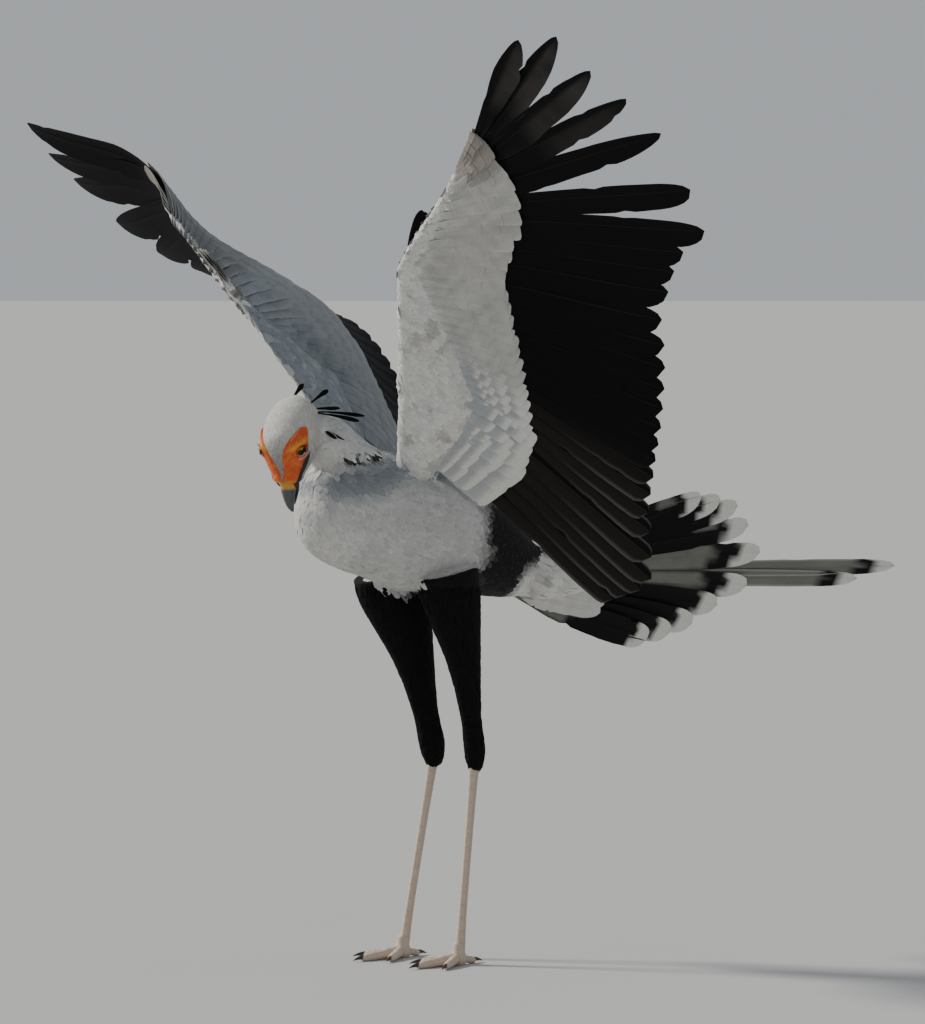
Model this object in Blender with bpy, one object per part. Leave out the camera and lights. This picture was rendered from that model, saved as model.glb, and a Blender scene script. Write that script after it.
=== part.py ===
# Secretary bird at life size: standing, wings raised and spread, head bowed straight down.
# Metres, +Z up. The bird faces -Y and its left side is +X. The floor is z = 0.

import math
import random

import bmesh
import bpy
from mathutils import Vector

# Clearances and plain sizes
GAP = 0.00035
FLOOR = 0.0
BODY_SIDES = 20

# Legs
TARSUS_LENGTH = 0.300
ANKLE_X = 0.055

# Feathers: the wing's flight feathers are numbered from its tip, first the primaries of the hand
PRIMARIES = 10
SECONDARIES = 17
FLIGHT = PRIMARIES + SECONDARIES
FINGERS = 5
FINGER_WIDTH = 0.041
FLIGHT_WIDTH = 0.055
TAIL_WIDTH = 0.050
LEAD_SHARE = 0.38
ROOT_THICK = 0.0014
TIP_THICK = 0.0008
SHINGLE = 0.0028
ROOT_SPREAD = 0.22
OVERLAP = 1.38
COVERT_OVERLAP = 1.14
ARM_RINGS = 9
HAND_RINGS = 6
COVERT_LIFT = 0.0080
HAND_COVERTS = 5
ARM_COVERTS = 8

# Outlines of the feathers: share of the length, share of the full width
FLIGHT_FORM = ((0.0, 0.14), (0.30, 0.74), (0.74, 1.0), (0.93, 0.80), (1.0, 0.22))
FINGER_FORM = ((0.0, 0.14), (0.36, 1.06), (0.76, 0.98), (0.93, 0.66), (1.0, 0.14))
COVERT_FORM = ((0.0, 0.30), (0.50, 0.95), (0.88, 0.85), (1.0, 0.30))
CREST_FORM = ((0.0, 0.34), (0.55, 0.46), (0.86, 1.0), (1.0, 0.40))

# Bones of each wing and the fan of its flight feathers.
# A fan row is feather number, degrees outward from straight back, degrees up, length, upward bow.
WINGS = {
    "left": {
        "side": 1,
        "shoulder": Vector((0.055, -0.100, 0.765)),
        "elbow": Vector((0.167, -0.076, 0.891)),
        "wrist": Vector((0.143, -0.164, 1.076)),
        "tip": Vector((0.268, -0.155, 1.219)),
        "fan": [
            (0, -21.0, 33.4, 0.341, 0.004), (1, -13.5, 30.2, 0.394, 0.004),
            (2, -6.0, 23.4, 0.402, 0.004), (4, 11.0, 13.2, 0.427, 0.006),
            (5, 20.0, 4.2, 0.434, 0.008), (6, 28.0, -1.8, 0.437, 0.010),
            (7, 32.0, -3.8, 0.406, 0.012), (9, 38.0, -7.1, 0.398, 0.018),
            (11, 43.5, -13.5, 0.396, 0.020), (15, 51.5, -23.7, 0.381, 0.022),
            (18, 57.5, -29.6, 0.366, 0.022), (21, 63.5, -36.1, 0.368, 0.022),
            (23, 66.0, -38.7, 0.415, 0.022), (26, 69.0, -39.4, 0.390, 0.022),
        ],
    },
    "right": {
        "side": -1,
        "shoulder": Vector((-0.055, -0.100, 0.765)),
        "elbow": Vector((-0.163, -0.106, 0.921)),
        "wrist": Vector((-0.146, -0.261, 1.029)),
        "tip": Vector((-0.281, -0.294, 1.158)),
        "fan": [
            (0, -9.0, 24.1, 0.365, 0.044), (1, 1.0, 16.4, 0.380, 0.044),
            (2, 10.0, 10.5, 0.412, 0.042), (3, 19.5, 2.2, 0.410, 0.039),
            (4, 28.0, -3.0, 0.410, 0.037), (6, 42.0, -5.5, 0.420, 0.033),
            (9, 56.0, -4.0, 0.400, 0.036), (11, 62.0, -4.5, 0.396, 0.036),
            (15, 68.0, -12.0, 0.385, 0.034), (21, 73.0, -30.0, 0.370, 0.030),
            (23, 74.0, -36.0, 0.400, 0.028), (26, 75.0, -40.0, 0.390, 0.024),
        ],
    },
}
# Where each primary grows along the hand, from the wing tip to the wrist
PRIMARY_ROOTS = (1.0, 0.95, 0.88, 0.80, 0.70, 0.60, 0.50, 0.38, 0.25, 0.12)

COLOURS = {
    "grey_plumage": (0.36, 0.38, 0.41, 1.0),
    "black_feather": (0.02, 0.02, 0.022, 1.0),
    "scaly_skin": (0.72, 0.56, 0.48, 1.0),
    "horn": (0.10, 0.11, 0.13, 1.0),
    "eye": (0.20, 0.11, 0.05, 1.0),
}


# Faces of a block whose corners go round its one end and then round its other end
BLOCK_FACES = [(0, 1, 2, 3), (7, 6, 5, 4), (0, 4, 5, 1), (1, 5, 6, 2), (2, 6, 7, 3), (3, 7, 4, 0)]


def material(slot, roughness=0.7):
    """The part's colour for one kind of surface."""
    found = bpy.data.materials.get(slot)
    if found:
        return found
    made = bpy.data.materials.new(slot)
    made.use_nodes = True
    shader = made.node_tree.nodes["Principled BSDF"]
    shader.inputs["Base Color"].default_value = COLOURS[slot]
    shader.inputs["Roughness"].default_value = roughness
    shader.inputs["Metallic"].default_value = 0.0
    return made


def new_object(name, points, faces, slot):
    """A mesh object with its faces turned outward."""
    mesh = bpy.data.meshes.new(name)
    mesh.from_pydata([tuple(p) for p in points], [], faces)
    work = bmesh.new()
    work.from_mesh(mesh)
    bmesh.ops.recalc_face_normals(work, faces=work.faces[:])
    if work.calc_volume(signed=True) < 0:
        bmesh.ops.reverse_faces(work, faces=work.faces[:])
    work.to_mesh(mesh)
    work.free()
    mesh.materials.append(material(slot))
    made = bpy.data.objects.new(name, mesh)
    bpy.context.collection.objects.link(made)
    return made


def smooth(rows, at):
    """Read a table at a place: a smooth curve through its rows, whose first column is the place."""
    if at <= rows[0][0]:
        return rows[0][1:]
    if at >= rows[-1][0]:
        return rows[-1][1:]
    k = max(i for i in range(len(rows) - 1) if rows[i][0] <= at)
    a, b = rows[k], rows[k + 1]
    span = b[0] - a[0]
    t = (at - a[0]) / span
    values = []
    for column in range(1, len(a)):
        step = (b[column] - a[column]) / span
        before = (a[column] - rows[k - 1][column]) / (a[0] - rows[k - 1][0]) if k > 0 else step
        after = (rows[k + 2][column] - b[column]) / (rows[k + 2][0] - b[0]) if k + 2 < len(rows) else step
        slope_a = (before + step) / 2
        slope_b = (step + after) / 2
        values.append(
            (2 * t**3 - 3 * t**2 + 1) * a[column] + (t**3 - 2 * t**2 + t) * slope_a * span
            + (-2 * t**3 + 3 * t**2) * b[column] + (t**3 - t**2) * slope_b * span)
    return values


def ring(centre, side, up, wide, high, low, count, power=1.0):
    """Points round a section: wide to each side, high above and low below its centre."""
    points = []
    for k in range(count):
        turn = 2 * math.pi * k / count
        c, s = math.cos(turn), math.sin(turn)
        across = math.copysign(abs(c) ** power, c) * wide
        lift = math.copysign(abs(s) ** power, s) * (high if s >= 0 else low)
        points.append(centre + side * across + up * lift)
    return points


def loft(name, rings, slot):
    """Skin a row of rings and close both ends with a fan."""
    count = len(rings[0])
    points = [p for r in rings for p in r]
    faces = []
    for k in range(len(rings) - 1):
        for j in range(count):
            a = k * count + j
            b = k * count + (j + 1) % count
            faces.append((a, b, b + count))
            faces.append((a, b + count, a + count))
    for start in (0, (len(rings) - 1) * count):
        middle = sum((points[start + j] for j in range(count)), Vector()) / count
        points.append(middle)
        for j in range(count):
            faces.append((start + j, start + (j + 1) % count, len(points) - 1))
    return new_object(name, points, faces, slot)


def tube(name, rows, slot, count=12, rings=10, side=Vector((1, 0, 0)), power=1.0):
    """A body along a spine. A row holds its place, x, y, z, half width, height above, depth below."""
    first, last = rows[0][0], rows[-1][0]
    stack = []
    for k in range(rings):
        at = first + (last - first) * k / (rings - 1)
        here = smooth(rows, at)
        nudge = (last - first) * 0.01
        ahead = Vector(smooth(rows, min(at + nudge, last))[:3])
        behind = Vector(smooth(rows, max(at - nudge, first))[:3])
        along = (ahead - behind).normalized()
        across = (side - along * side.dot(along)).normalized()
        up = across.cross(along).normalized()
        if up.z < 0 and abs(up.z) > 0.3:
            up = -up
        stack.append(ring(Vector(here[:3]), across, up, here[3], here[4], here[5], count, power))
    return loft(name, stack, slot)


def keep_largest(target):
    """Keep only the largest closed surface of a mesh."""
    work = bmesh.new()
    work.from_mesh(target.data)
    work.verts.ensure_lookup_table()
    seen = set()
    groups = []
    for vert in work.verts:
        if vert.index in seen:
            continue
        seen.add(vert.index)
        group = [vert]
        front = [vert]
        while front:
            here = front.pop()
            for edge in here.link_edges:
                other = edge.other_vert(here)
                if other.index not in seen:
                    seen.add(other.index)
                    group.append(other)
                    front.append(other)
        groups.append(group)
    groups.sort(key=len)
    if len(groups) > 1:
        bmesh.ops.delete(work, geom=[v for g in groups[:-1] for v in g], context="VERTS")
    work.to_mesh(target.data)
    work.free()


def combine(target, operation, pieces):
    """Apply one Boolean of a target with all of its pieces, and keep its largest closed surface."""
    group = bpy.data.collections.new("pieces")
    bpy.context.scene.collection.children.link(group)
    for piece in pieces:
        group.objects.link(piece)
        bpy.context.collection.objects.unlink(piece)
    step = target.modifiers.new("join", "BOOLEAN")
    step.operation = operation
    step.solver = "MANIFOLD"
    step.operand_type = "COLLECTION"
    step.collection = group
    graph = bpy.context.evaluated_depsgraph_get()
    result = bpy.data.meshes.new_from_object(target.evaluated_get(graph))
    target.modifiers.clear()
    target.data = result
    for piece in pieces:
        bpy.data.objects.remove(piece)
    bpy.data.collections.remove(group)
    keep_largest(target)
    return target


def fuse(target, pieces):
    """Join pieces to the body that they grow from."""
    return combine(target, "UNION", pieces)


def cut(target, cutters):
    """Cut pieces away from a body."""
    return combine(target, "DIFFERENCE", cutters)


def swollen(body, by=GAP):
    """A copy of a body that is larger by an even clearance."""
    work = bmesh.new()
    work.from_mesh(body.data)
    bmesh.ops.triangulate(work, faces=work.faces[:])
    work.normal_update()
    moves = [vert.normal * (by * min(vert.calc_shell_factor(), 2.5)) for vert in work.verts]
    for vert, move in zip(work.verts, moves):
        vert.co += move
    mesh = bpy.data.meshes.new("clearance")
    work.to_mesh(mesh)
    work.free()
    made = bpy.data.objects.new("clearance", mesh)
    made.hide_render = True
    made.display_type = "WIRE"
    bpy.context.collection.objects.link(made)
    return made


def clear_of(target, body):
    """Cut a target back from a neighbour, with a small gap between them."""
    cut(target, [swollen(body)])


# Torso, neck and head

TORSO = [
    (0.00, 0, -0.252, 0.700, 0.012, 0.014, 0.014),
    (0.03, 0, -0.240, 0.700, 0.040, 0.046, 0.048),
    (0.08, 0, -0.215, 0.703, 0.064, 0.070, 0.076),
    (0.16, 0, -0.175, 0.708, 0.082, 0.084, 0.096),
    (0.27, 0, -0.120, 0.708, 0.094, 0.092, 0.108),
    (0.40, 0, -0.060, 0.698, 0.098, 0.100, 0.116),
    (0.54, 0, 0.005, 0.680, 0.096, 0.098, 0.112),
    (0.67, 0, 0.065, 0.655, 0.085, 0.084, 0.094),
    (0.80, 0, 0.125, 0.627, 0.067, 0.064, 0.070),
    (0.92, 0, 0.178, 0.604, 0.046, 0.044, 0.048),
    (1.00, 0, 0.212, 0.590, 0.024, 0.022, 0.024),
]
NECK = [
    (0.0, 0.000, -0.105, 0.735, 0.066, 0.060, 0.060),
    (0.4, 0.004, -0.165, 0.782, 0.052, 0.042, 0.050),
    (0.7, 0.008, -0.215, 0.822, 0.044, 0.037, 0.044),
    (1.0, 0.014, -0.262, 0.832, 0.036, 0.034, 0.036),
]
# The head hangs from the nape; its crown is turned toward the bird's left.
HEAD_TURN = math.radians(28.0)
CROWN = Vector((math.sin(HEAD_TURN), -math.cos(HEAD_TURN), 0.0))
NEAR = Vector((math.cos(HEAD_TURN), math.sin(HEAD_TURN), 0.0))
HEAD_X, HEAD_Y = 0.020, -0.287
EYE_HEIGHT, EYE_ACROSS, EYE_FORWARD = 0.806, 0.0280, 0.0252
EYE_RADIUS = 0.0100
LID_THICK = 0.0014
CREST_WIDTH = 0.021
# A row holds height, shift toward the crown, half width, depth to the crown, depth to the throat.
HEAD = [
    (0.752, 0.003, 0.010, 0.012, 0.012),
    (0.757, 0.003, 0.020, 0.023, 0.021),
    (0.769, 0.003, 0.025, 0.028, 0.027),
    (0.784, 0.001, 0.033, 0.037, 0.037),
    (0.802, 0.000, 0.041, 0.046, 0.047),
    (0.821, 0.000, 0.043, 0.050, 0.050),
    (0.842, -0.004, 0.042, 0.046, 0.050),
    (0.862, -0.010, 0.038, 0.040, 0.046),
    (0.878, -0.014, 0.028, 0.030, 0.036),
    (0.888, -0.016, 0.016, 0.016, 0.020),
    (0.892, -0.016, 0.006, 0.006, 0.007),
]


def head_point(height, across, forward):
    """A point in the head's own directions: height, toward the near side, toward the crown."""
    return Vector((HEAD_X, HEAD_Y, height)) + NEAR * across + CROWN * forward


def make_torso():
    return tube("torso", TORSO, "grey_plumage", BODY_SIDES, 15)


def make_neck():
    return tube("neck", NECK, "grey_plumage", 16, 7)


def ball(name, centre, axes, sizes, slot, count=10, rings=6):
    """An ellipsoid with its poles on the last of three axes."""
    side, front, pole = axes
    stack = []
    for k in range(rings):
        tilt = math.pi * (k + 0.4) / (rings - 0.2)
        wide, deep = sizes[0] * math.sin(tilt), sizes[1] * math.sin(tilt)
        stack.append(ring(centre + pole * (sizes[2] * math.cos(tilt)), side, front, wide, deep, deep, count))
    return loft(name, stack, slot)


def eye_place(side):
    """Centre of an eye and the way that it looks."""
    return head_point(EYE_HEIGHT, side * EYE_ACROSS, EYE_FORWARD), (NEAR * (side * 0.82) + CROWN * 0.57).normalized()


def make_lids(side):
    """The rim of both lids: a thin ring that is drawn out into two corners."""
    centre, look = eye_place(side)
    up = Vector((0, 0, 1))
    across = up.cross(look).normalized()
    ring_at = centre + look * (EYE_RADIUS * 0.60)
    count, sides = 12, 4
    points, faces = [], []
    for k in range(count):
        turn = 2 * math.pi * k / count
        out = up * math.cos(turn) + across * math.sin(turn)
        reach = EYE_RADIUS * (0.85 + 0.14 * abs(math.sin(turn)))
        for j in range(sides):
            lean = 2 * math.pi * j / sides
            points.append(ring_at + out * (reach + LID_THICK * math.cos(lean)) + look * (LID_THICK * math.sin(lean)))
    for k in range(count):
        for j in range(sides):
            a, b = k * sides + j, k * sides + (j + 1) % sides
            c, d = (k + 1) % count * sides + (j + 1) % sides, (k + 1) % count * sides + j
            faces += [(a, b, c), (a, c, d)]
    return new_object("lids", points, faces, "scaly_skin")


def make_crest():
    """Long spoon-tipped feathers that grow from the nape and lie back over the neck."""
    made = []
    for row, (count, height, steep) in enumerate(((7, 0.876, 38.0), (6, 0.866, 10.0))):
        for k in range(count):
            lean = 2.0 * k / (count - 1) - 1.0
            turn = math.radians(-8.0 + 52.0 * lean)
            rise = math.radians(steep - 14.0 * lean * lean + random.uniform(-5.0, 5.0))
            heading = Vector((math.sin(turn) * math.cos(rise), math.cos(turn) * math.cos(rise), math.sin(rise)))
            length = random.uniform(0.082, 0.108) * (1.0 - 0.18 * lean * lean)
            start = head_point(height, 0.016 * lean, -0.022)
            lead = heading.cross(Vector((0, 0, 1))).normalized()
            line = [start + heading * (length * share) - Vector((0, 0, 0.10 * length * share * share))
                    for share, part in CREST_FORM]
            up = lead.cross(heading).normalized()
            sizes = len(CREST_FORM)
            made.append(vane(line, [lead] * sizes, [up] * sizes, [CREST_WIDTH * part for share, part in CREST_FORM],
                             "black_feather", 0.5))
    return made


def make_head():
    """Head with its lids, mouth line and crest."""
    rings = []
    for height, shift, wide, crown, throat in HEAD:
        centre = head_point(height, 0.0, shift)
        rings.append(ring(centre, NEAR, CROWN, wide, crown, throat, 20))
    head = loft("head", rings, "grey_plumage")
    pieces = []
    for side in (1, -1):
        pieces.append(make_lids(side))
    fuse(head, pieces + make_crest())
    grooves = []
    for side in (1, -1):
        low, high = head_point(0.748, side * 0.0150, -0.0015), head_point(0.796, side * 0.0420, -0.0060)
        out = NEAR * (side * 0.0060)
        thin = CROWN * 0.0008
        corners = [p + thin * t for t in (-1, 1) for p in (low - out * 0.2, high - out * 0.25, high + out, low + out)]
        grooves.append(new_object("mouth_line", corners, BLOCK_FACES, "scaly_skin"))
    return cut(head, grooves)


def make_bill():
    """Upper bill with its hook, and the lower bill just behind it."""
    upper_rows = [
        (0.756, 0.004, 0.0135, 0.0185, 0.002), (0.746, 0.004, 0.0120, 0.0170, 0.002),
        (0.734, 0.003, 0.0095, 0.0145, 0.001), (0.724, 0.000, 0.0070, 0.0125, 0.000),
        (0.716, -0.004, 0.0042, 0.0095, 0.001), (0.710, -0.009, 0.0016, 0.0040, 0.001),
    ]
    lower_rows = [
        (0.756, -0.0035, 0.0115, 0.0015, 0.0115), (0.744, -0.004, 0.0100, 0.0015, 0.0100),
        (0.732, -0.006, 0.0075, 0.0015, 0.0070), (0.722, -0.009, 0.0040, 0.0012, 0.0035),
    ]
    made = []
    for name, rows in (("bill_upper", upper_rows), ("bill_lower", lower_rows)):
        rings = [ring(head_point(z, 0, f), NEAR, CROWN, w, up, low, 14) for z, f, w, up, low in rows]
        made.append(loft(name, rings, "horn"))
    for side in (1, -1):
        nostril = ball("nostril", head_point(0.7425, side * 0.0118, 0.0120), (NEAR, CROWN, Vector((0, 0, 1))),
                       (0.0022, 0.0016, 0.0038), "horn", 8, 4)
        cut(made[0], [nostril])
    return made


def make_eyes():
    made = []
    for side, name in ((1, "eye_left"), (-1, "eye_right")):
        centre, look = eye_place(side)
        across = Vector((0, 0, 1)).cross(look).normalized()
        made.append(ball(name, centre, (across, Vector((0, 0, 1)), look), [EYE_RADIUS] * 3, "eye", 12, 7))
    return made


# Legs: feathered thigh and shin, bare shank, foot and claws

LEGS = {
    "left": {
        "foot": Vector((0.058, 0.004, FLOOR)),
        "ankle": Vector((ANKLE_X, 0.038, TARSUS_LENGTH)),
        "thigh": Vector((0.058, -0.012, 0.560)),
        "full": 1.0,
    },
    "right": {
        "foot": Vector((-0.062, -0.013, FLOOR)),
        "ankle": Vector((-ANKLE_X, 0.043, TARSUS_LENGTH)),
        "thigh": Vector((-0.058, -0.036, 0.560)),
        "full": 1.2,
    },
}


def make_trousers(side, leg):
    """Thigh and shin in their long black feathers, with more of them on a leg that is fuller."""
    top, low, full = leg["thigh"], leg["ankle"], leg["full"]
    rows = []
    for at, bulge, wide, front, back in (
            (0.0, -0.004, 0.044, 0.056, 0.056), (0.10, -0.002, 0.042, 0.053, 0.054),
            (0.28, 0.004, 0.033, 0.040, 0.042), (0.43, 0.008, 0.025, 0.030, 0.032),
            (0.74, 0.008, 0.0155, 0.0185, 0.019), (0.93, 0.006, 0.016, 0.018, 0.018),
            (1.0, 0.003, 0.010, 0.012, 0.012)):
        place = top.lerp(low, at) + Vector((0, bulge, 0))
        rows.append((at, place.x, place.y, place.z + 0.05 * (1 - at), wide * full, front * full, back * full))
    return tube("leg_" + side + "_shin", rows, "black_feather", 12, 11)


def make_shank(side, leg):
    foot, ankle = leg["foot"], leg["ankle"]
    rows = []
    for at, wide, front, back in ((0.0, 0.0070, 0.0090, 0.0100), (0.12, 0.0062, 0.0074, 0.0084),
                                  (0.5, 0.0055, 0.0064, 0.0075), (0.85, 0.0062, 0.0070, 0.0080),
                                  (1.0, 0.0080, 0.0090, 0.0090)):
        place = (ankle + Vector((0, 0.002, 0.012))).lerp(foot + Vector((0, 0.004, 0.020)), at)
        rows.append((at, place.x, place.y, place.z, wide, front, back))
    return tube("leg_" + side + "_shank", rows, "scaly_skin", 10, 8)


TOES = (
    # name, degrees outward from straight ahead, length, thickness at the root
    ("inner", -34.0, 0.058, 0.0082),
    ("middle", 0.0, 0.078, 0.0086),
    ("outer", 34.0, 0.060, 0.0080),
    ("hind", 180.0, 0.034, 0.0072),
)
TOE_FLAT = 0.0012


def toe_line(leg, side, degrees, length):
    """The way that a toe points, and its centre line down from the foot's pad and along the floor."""
    turn = math.radians(degrees * side)
    ahead = Vector((math.sin(turn), -math.cos(turn), 0.0))
    line = []
    for at, height in ((0.0, 0.0125), (0.25, 0.0110), (0.55, 0.0082), (0.8, 0.0068), (1.0, 0.0056)):
        place = leg["foot"] + ahead * (length * at)
        line.append((at, place.x, place.y, height))
    return ahead, line


def make_foot(side, leg, sign):
    """Pad with four toes, flat where it stands on the floor."""
    pad_rings = []
    for height, wide in ((0.0, 0.0100), (0.006, 0.0135), (0.014, 0.0130), (0.022, 0.0100), (0.030, 0.0088)):
        pad_rings.append(ring(leg["foot"] + Vector((0, 0.001, height - TOE_FLAT)), Vector((1, 0, 0)),
                              Vector((0, 1, 0)), wide, wide, wide, 12))
    foot = loft("leg_" + side + "_foot", pad_rings, "scaly_skin")
    toes = []
    claws = []
    for name, degrees, length, thick in TOES:
        ahead, line = toe_line(leg, sign, degrees, length)
        across = Vector((-ahead.y, ahead.x, 0.0))
        rings = []
        for k, (at, x, y, height) in enumerate(line):
            radius = thick * (1.0 - 0.30 * at)
            if k == len(line) - 1:
                radius *= 0.62
            rings.append(ring(Vector((x, y, height - TOE_FLAT)), across, Vector((0, 0, 1)),
                              radius, radius * 0.95, radius * 1.05, 8))
        toes.append(loft("toe_" + name, rings, "scaly_skin"))
        claws.append(make_claw("claw_" + side + "_" + name, leg["foot"] + ahead * length, ahead, across,
                               0.017 if name != "hind" else 0.015))
    fuse(foot, toes)
    flatten_below(foot)
    return foot, claws


def make_claw(name, root, ahead, across, length):
    """A short blunt claw that curves down to the floor."""
    rings = []
    for at in (-0.35, 0.1, 0.6, 1.0):
        place = root + ahead * (length * at)
        height = 0.0058 - 0.0036 * max(at, 0.0) ** 2
        radius = 0.0034 * (1.0 - 0.70 * max(at, 0.0))
        rings.append(ring(place + Vector((0, 0, height)), across, Vector((0, 0, 1)),
                          radius * 0.8, radius, min(radius, height - 0.0004), 6))
    return loft(name, rings, "horn")


def flatten_below(body):
    """Cut off what is below the floor, which leaves small flats at one level."""
    corners = [(x, y, z) for z in (-0.1, FLOOR) for x, y in ((-0.5, -0.5), (-0.5, 0.5), (0.5, 0.5), (0.5, -0.5))]
    cut(body, [new_object("floor_cut", corners, BLOCK_FACES, "horn")])


# Feather vanes

def vane(line, leads, ups, widths, slot, lead_share=LEAD_SHARE):
    """One feather: a thin blade along its line, tapered to the tip and closed all round."""
    points = []
    last = len(line) - 1
    for k, place in enumerate(line):
        half = ups[k] * ((ROOT_THICK + (TIP_THICK - ROOT_THICK) * k / last) / 2)
        lead = place + leads[k] * (widths[k] * lead_share)
        trail = place - leads[k] * (widths[k] * (1.0 - lead_share))
        points += [lead + half, trail + half, trail - half, lead - half]
    faces = []
    for k in range(last):
        a, b = 4 * k, 4 * (k + 1)
        faces += [(a, a + 1, b + 1), (a, b + 1, b)]
        faces += [(a + 3, b + 2, a + 2), (a + 3, b + 3, b + 2)]
        faces += [(a + 1, a + 2, b + 2), (a + 1, b + 2, b + 1)]
        faces += [(a + 3, a, b), (a + 3, b, b + 3)]
    for start in (0, 4 * last):
        faces += [(start, start + 1, start + 2), (start, start + 2, start + 3)]
    return new_object("vane", points, faces, slot)


def tier(surface, numbers, form, width, reach, slot, lift=0.0, overlap=OVERLAP, tilt=SHINGLE,
         lead_share=LEAD_SHARE, stack=None):
    """A row of overlapping feathers laid along a surface, which gives a place for number and share.

    width and reach give a feather's full width and its length as a share of the surface's. lift is how
    far the row stands off the surface past its sunk roots, and overlap limits its widths as a share of
    the spacing. Each leading edge is turned up over its neighbour, and stack is a feather's own height.
    """
    made = []
    for number in numbers:
        line, leads, ups, widths = [], [], [], []
        for share, part in form:
            at = share * reach(number)
            spread = max(at, ROOT_SPREAD)
            along = (surface(number, at + 0.01) - surface(number, at - 0.01)).normalized()
            across = surface(number - 0.5, spread) - surface(number + 0.5, spread)
            across -= along * across.dot(along)
            spacing = across.length
            across.normalize()
            up = across.cross(along).normalized()
            if up.dot(surface.up(number)) < 0:
                up = -up
            turn = math.asin(min(tilt / spacing, 0.30))
            rise = lift * (0.4 + 0.6 * min(share / 0.35, 1.0))
            if stack:
                rise += stack(number)
            line.append(surface(number, at) + up * rise)
            leads.append(across * math.cos(turn) + up * math.sin(turn))
            ups.append(up * math.cos(turn) - across * math.sin(turn))
            widths.append(min(part * width(number), overlap * spacing))
        made.append(vane(line, leads, ups, widths, slot, lead_share))
    return made


# Wings

class Wing:
    """The smooth surface that a wing's flight feathers follow, read by feather number and share."""

    def __init__(self, sizes):
        self.sizes = sizes
        self.side = sizes["side"]

    def bone_place(self, number):
        """Where a whole-numbered flight feather grows from the bones."""
        wing = self.sizes
        if number < PRIMARIES:
            return wing["wrist"].lerp(wing["tip"], PRIMARY_ROOTS[number])
        place = number - PRIMARIES
        if place < 12:
            return wing["wrist"].lerp(wing["elbow"], 0.02 + 0.97 * place / 11)
        return wing["elbow"].lerp(wing["shoulder"], 0.12 * (place - 11))

    def root(self, number):
        low = min(max(int(math.floor(number)), 0), FLIGHT - 2)
        return self.bone_place(low).lerp(self.bone_place(low + 1), number - low)

    def ahead(self, number):
        outward, rise, length, bow = smooth(self.sizes["fan"], number)
        if number < 0 or number > FLIGHT - 1:
            edge = 0.0 if number < 0 else FLIGHT - 1.0
            near = smooth(self.sizes["fan"], edge + (0.5 if number < 0 else -0.5))
            outward += (outward - near[0]) * 2 * abs(number - edge)
            rise += (rise - near[1]) * 2 * abs(number - edge)
        outward, rise = math.radians(outward), math.radians(rise)
        way = Vector((self.side * math.cos(outward) * math.cos(rise),
                      math.sin(outward) * math.cos(rise), math.sin(rise)))
        return way * length, bow

    def up(self, number):
        """Upper side of the wing half way along a feather."""
        across = self.root(number - 0.5) + self.ahead(number - 0.5)[0] * 0.5
        across -= self.root(number + 0.5) + self.ahead(number + 0.5)[0] * 0.5
        return (across.cross(self.ahead(number)[0]) * self.side).normalized()

    def __call__(self, number, share):
        way, bow = self.ahead(number)
        return self.root(number) + way * share + self.up(number) * (bow * 6.75 * share * (1 - share) ** 2)


def aerofoil(front, bone, back, up, thick):
    """Closed wing section from its rounded front past the bone to its thin back."""
    ahead = (back - front).normalized()
    up = (up - ahead * up.dot(ahead)).normalized()
    places = (front - ahead * 0.003, front.lerp(bone, 0.25), bone, back)
    shape = (0.0, 0.80, 1.0, 0.26)
    upper = [place + up * (part * thick / 2) for place, part in zip(places, shape)]
    lower = [place - up * (part * thick / 2) for place, part in zip(places, shape)]
    return upper + lower[:0:-1]


def arm_core(name, wing):
    """Skin, muscle and small feathers over the upper arm and forearm."""
    sizes = wing.sizes
    last = FLIGHT - 1
    base = sizes["shoulder"] - wing.root(last)
    rings = []
    for k in range(ARM_RINGS):
        # two sections carry it on from the innermost feather into the shoulder
        inward = max(0.0, 1.0 - k / 2.0)
        along = max(0, k - 2) / (ARM_RINGS - 3)
        number = last - along * (last - PRIMARIES + 0.30)
        way = wing.ahead(number)[0].normalized()
        bone = wing.root(number) + base * inward
        sail = sizes["shoulder"].lerp(sizes["wrist"], 0.16 + 0.84 * along)
        front = sail.lerp(sizes["shoulder"], inward) - way * 0.012
        back = wing(number, 0.12) + base * inward
        rings.append(aerofoil(front, bone, back, wing.up(number), 0.036 - 0.019 * along))
    return loft(name, rings, "grey_plumage")


def hand_core(name, wing):
    """Skin and small feathers over the hand, from just past the wrist to just past its tip."""
    finger = (wing.sizes["tip"] - wing.sizes["wrist"]).normalized()
    flat = wing.up(6)
    chord = finger.cross(flat).normalized() * 0.022
    if chord.dot(wing.ahead(6)[0]) < 0:
        chord = -chord
    rings = []
    for k in range(HAND_RINGS):
        at = k / (HAND_RINGS - 1)
        number = PRIMARIES - 0.5 - (PRIMARIES - 0.15) * at
        bone = wing.root(number)
        # toward the tip the sections turn square to the finger bones, so that they keep clear of each other
        across = (wing(number, 0.13) - bone).lerp(chord, at)
        up = wing.up(number).lerp(flat, at)
        front = bone - across.normalized() * (0.013 - 0.007 * at)
        rings.append(aerofoil(front, bone, bone + across, up, 0.017 - 0.007 * at))
    return loft(name, rings, "grey_plumage")


def flight_width(number):
    """Outer primaries are narrow fingers, the rest are broad."""
    blend = min(max((number - FINGERS + 1) / 2.0, 0.0), 1.0)
    return FINGER_WIDTH + (FLIGHT_WIDTH - FINGER_WIDTH) * blend


def covert_width(number):
    return 0.036 + 0.014 * min(max((number - 2) / 6.0, 0.0), 1.0)


def covert_reach(number):
    """Length of a greater covert as a share of its flight feather."""
    return 0.29 + 0.09 * min(max((number - 2) / 8.0, 0.0), 1.0)


def whole(number):
    return 1.0


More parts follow.
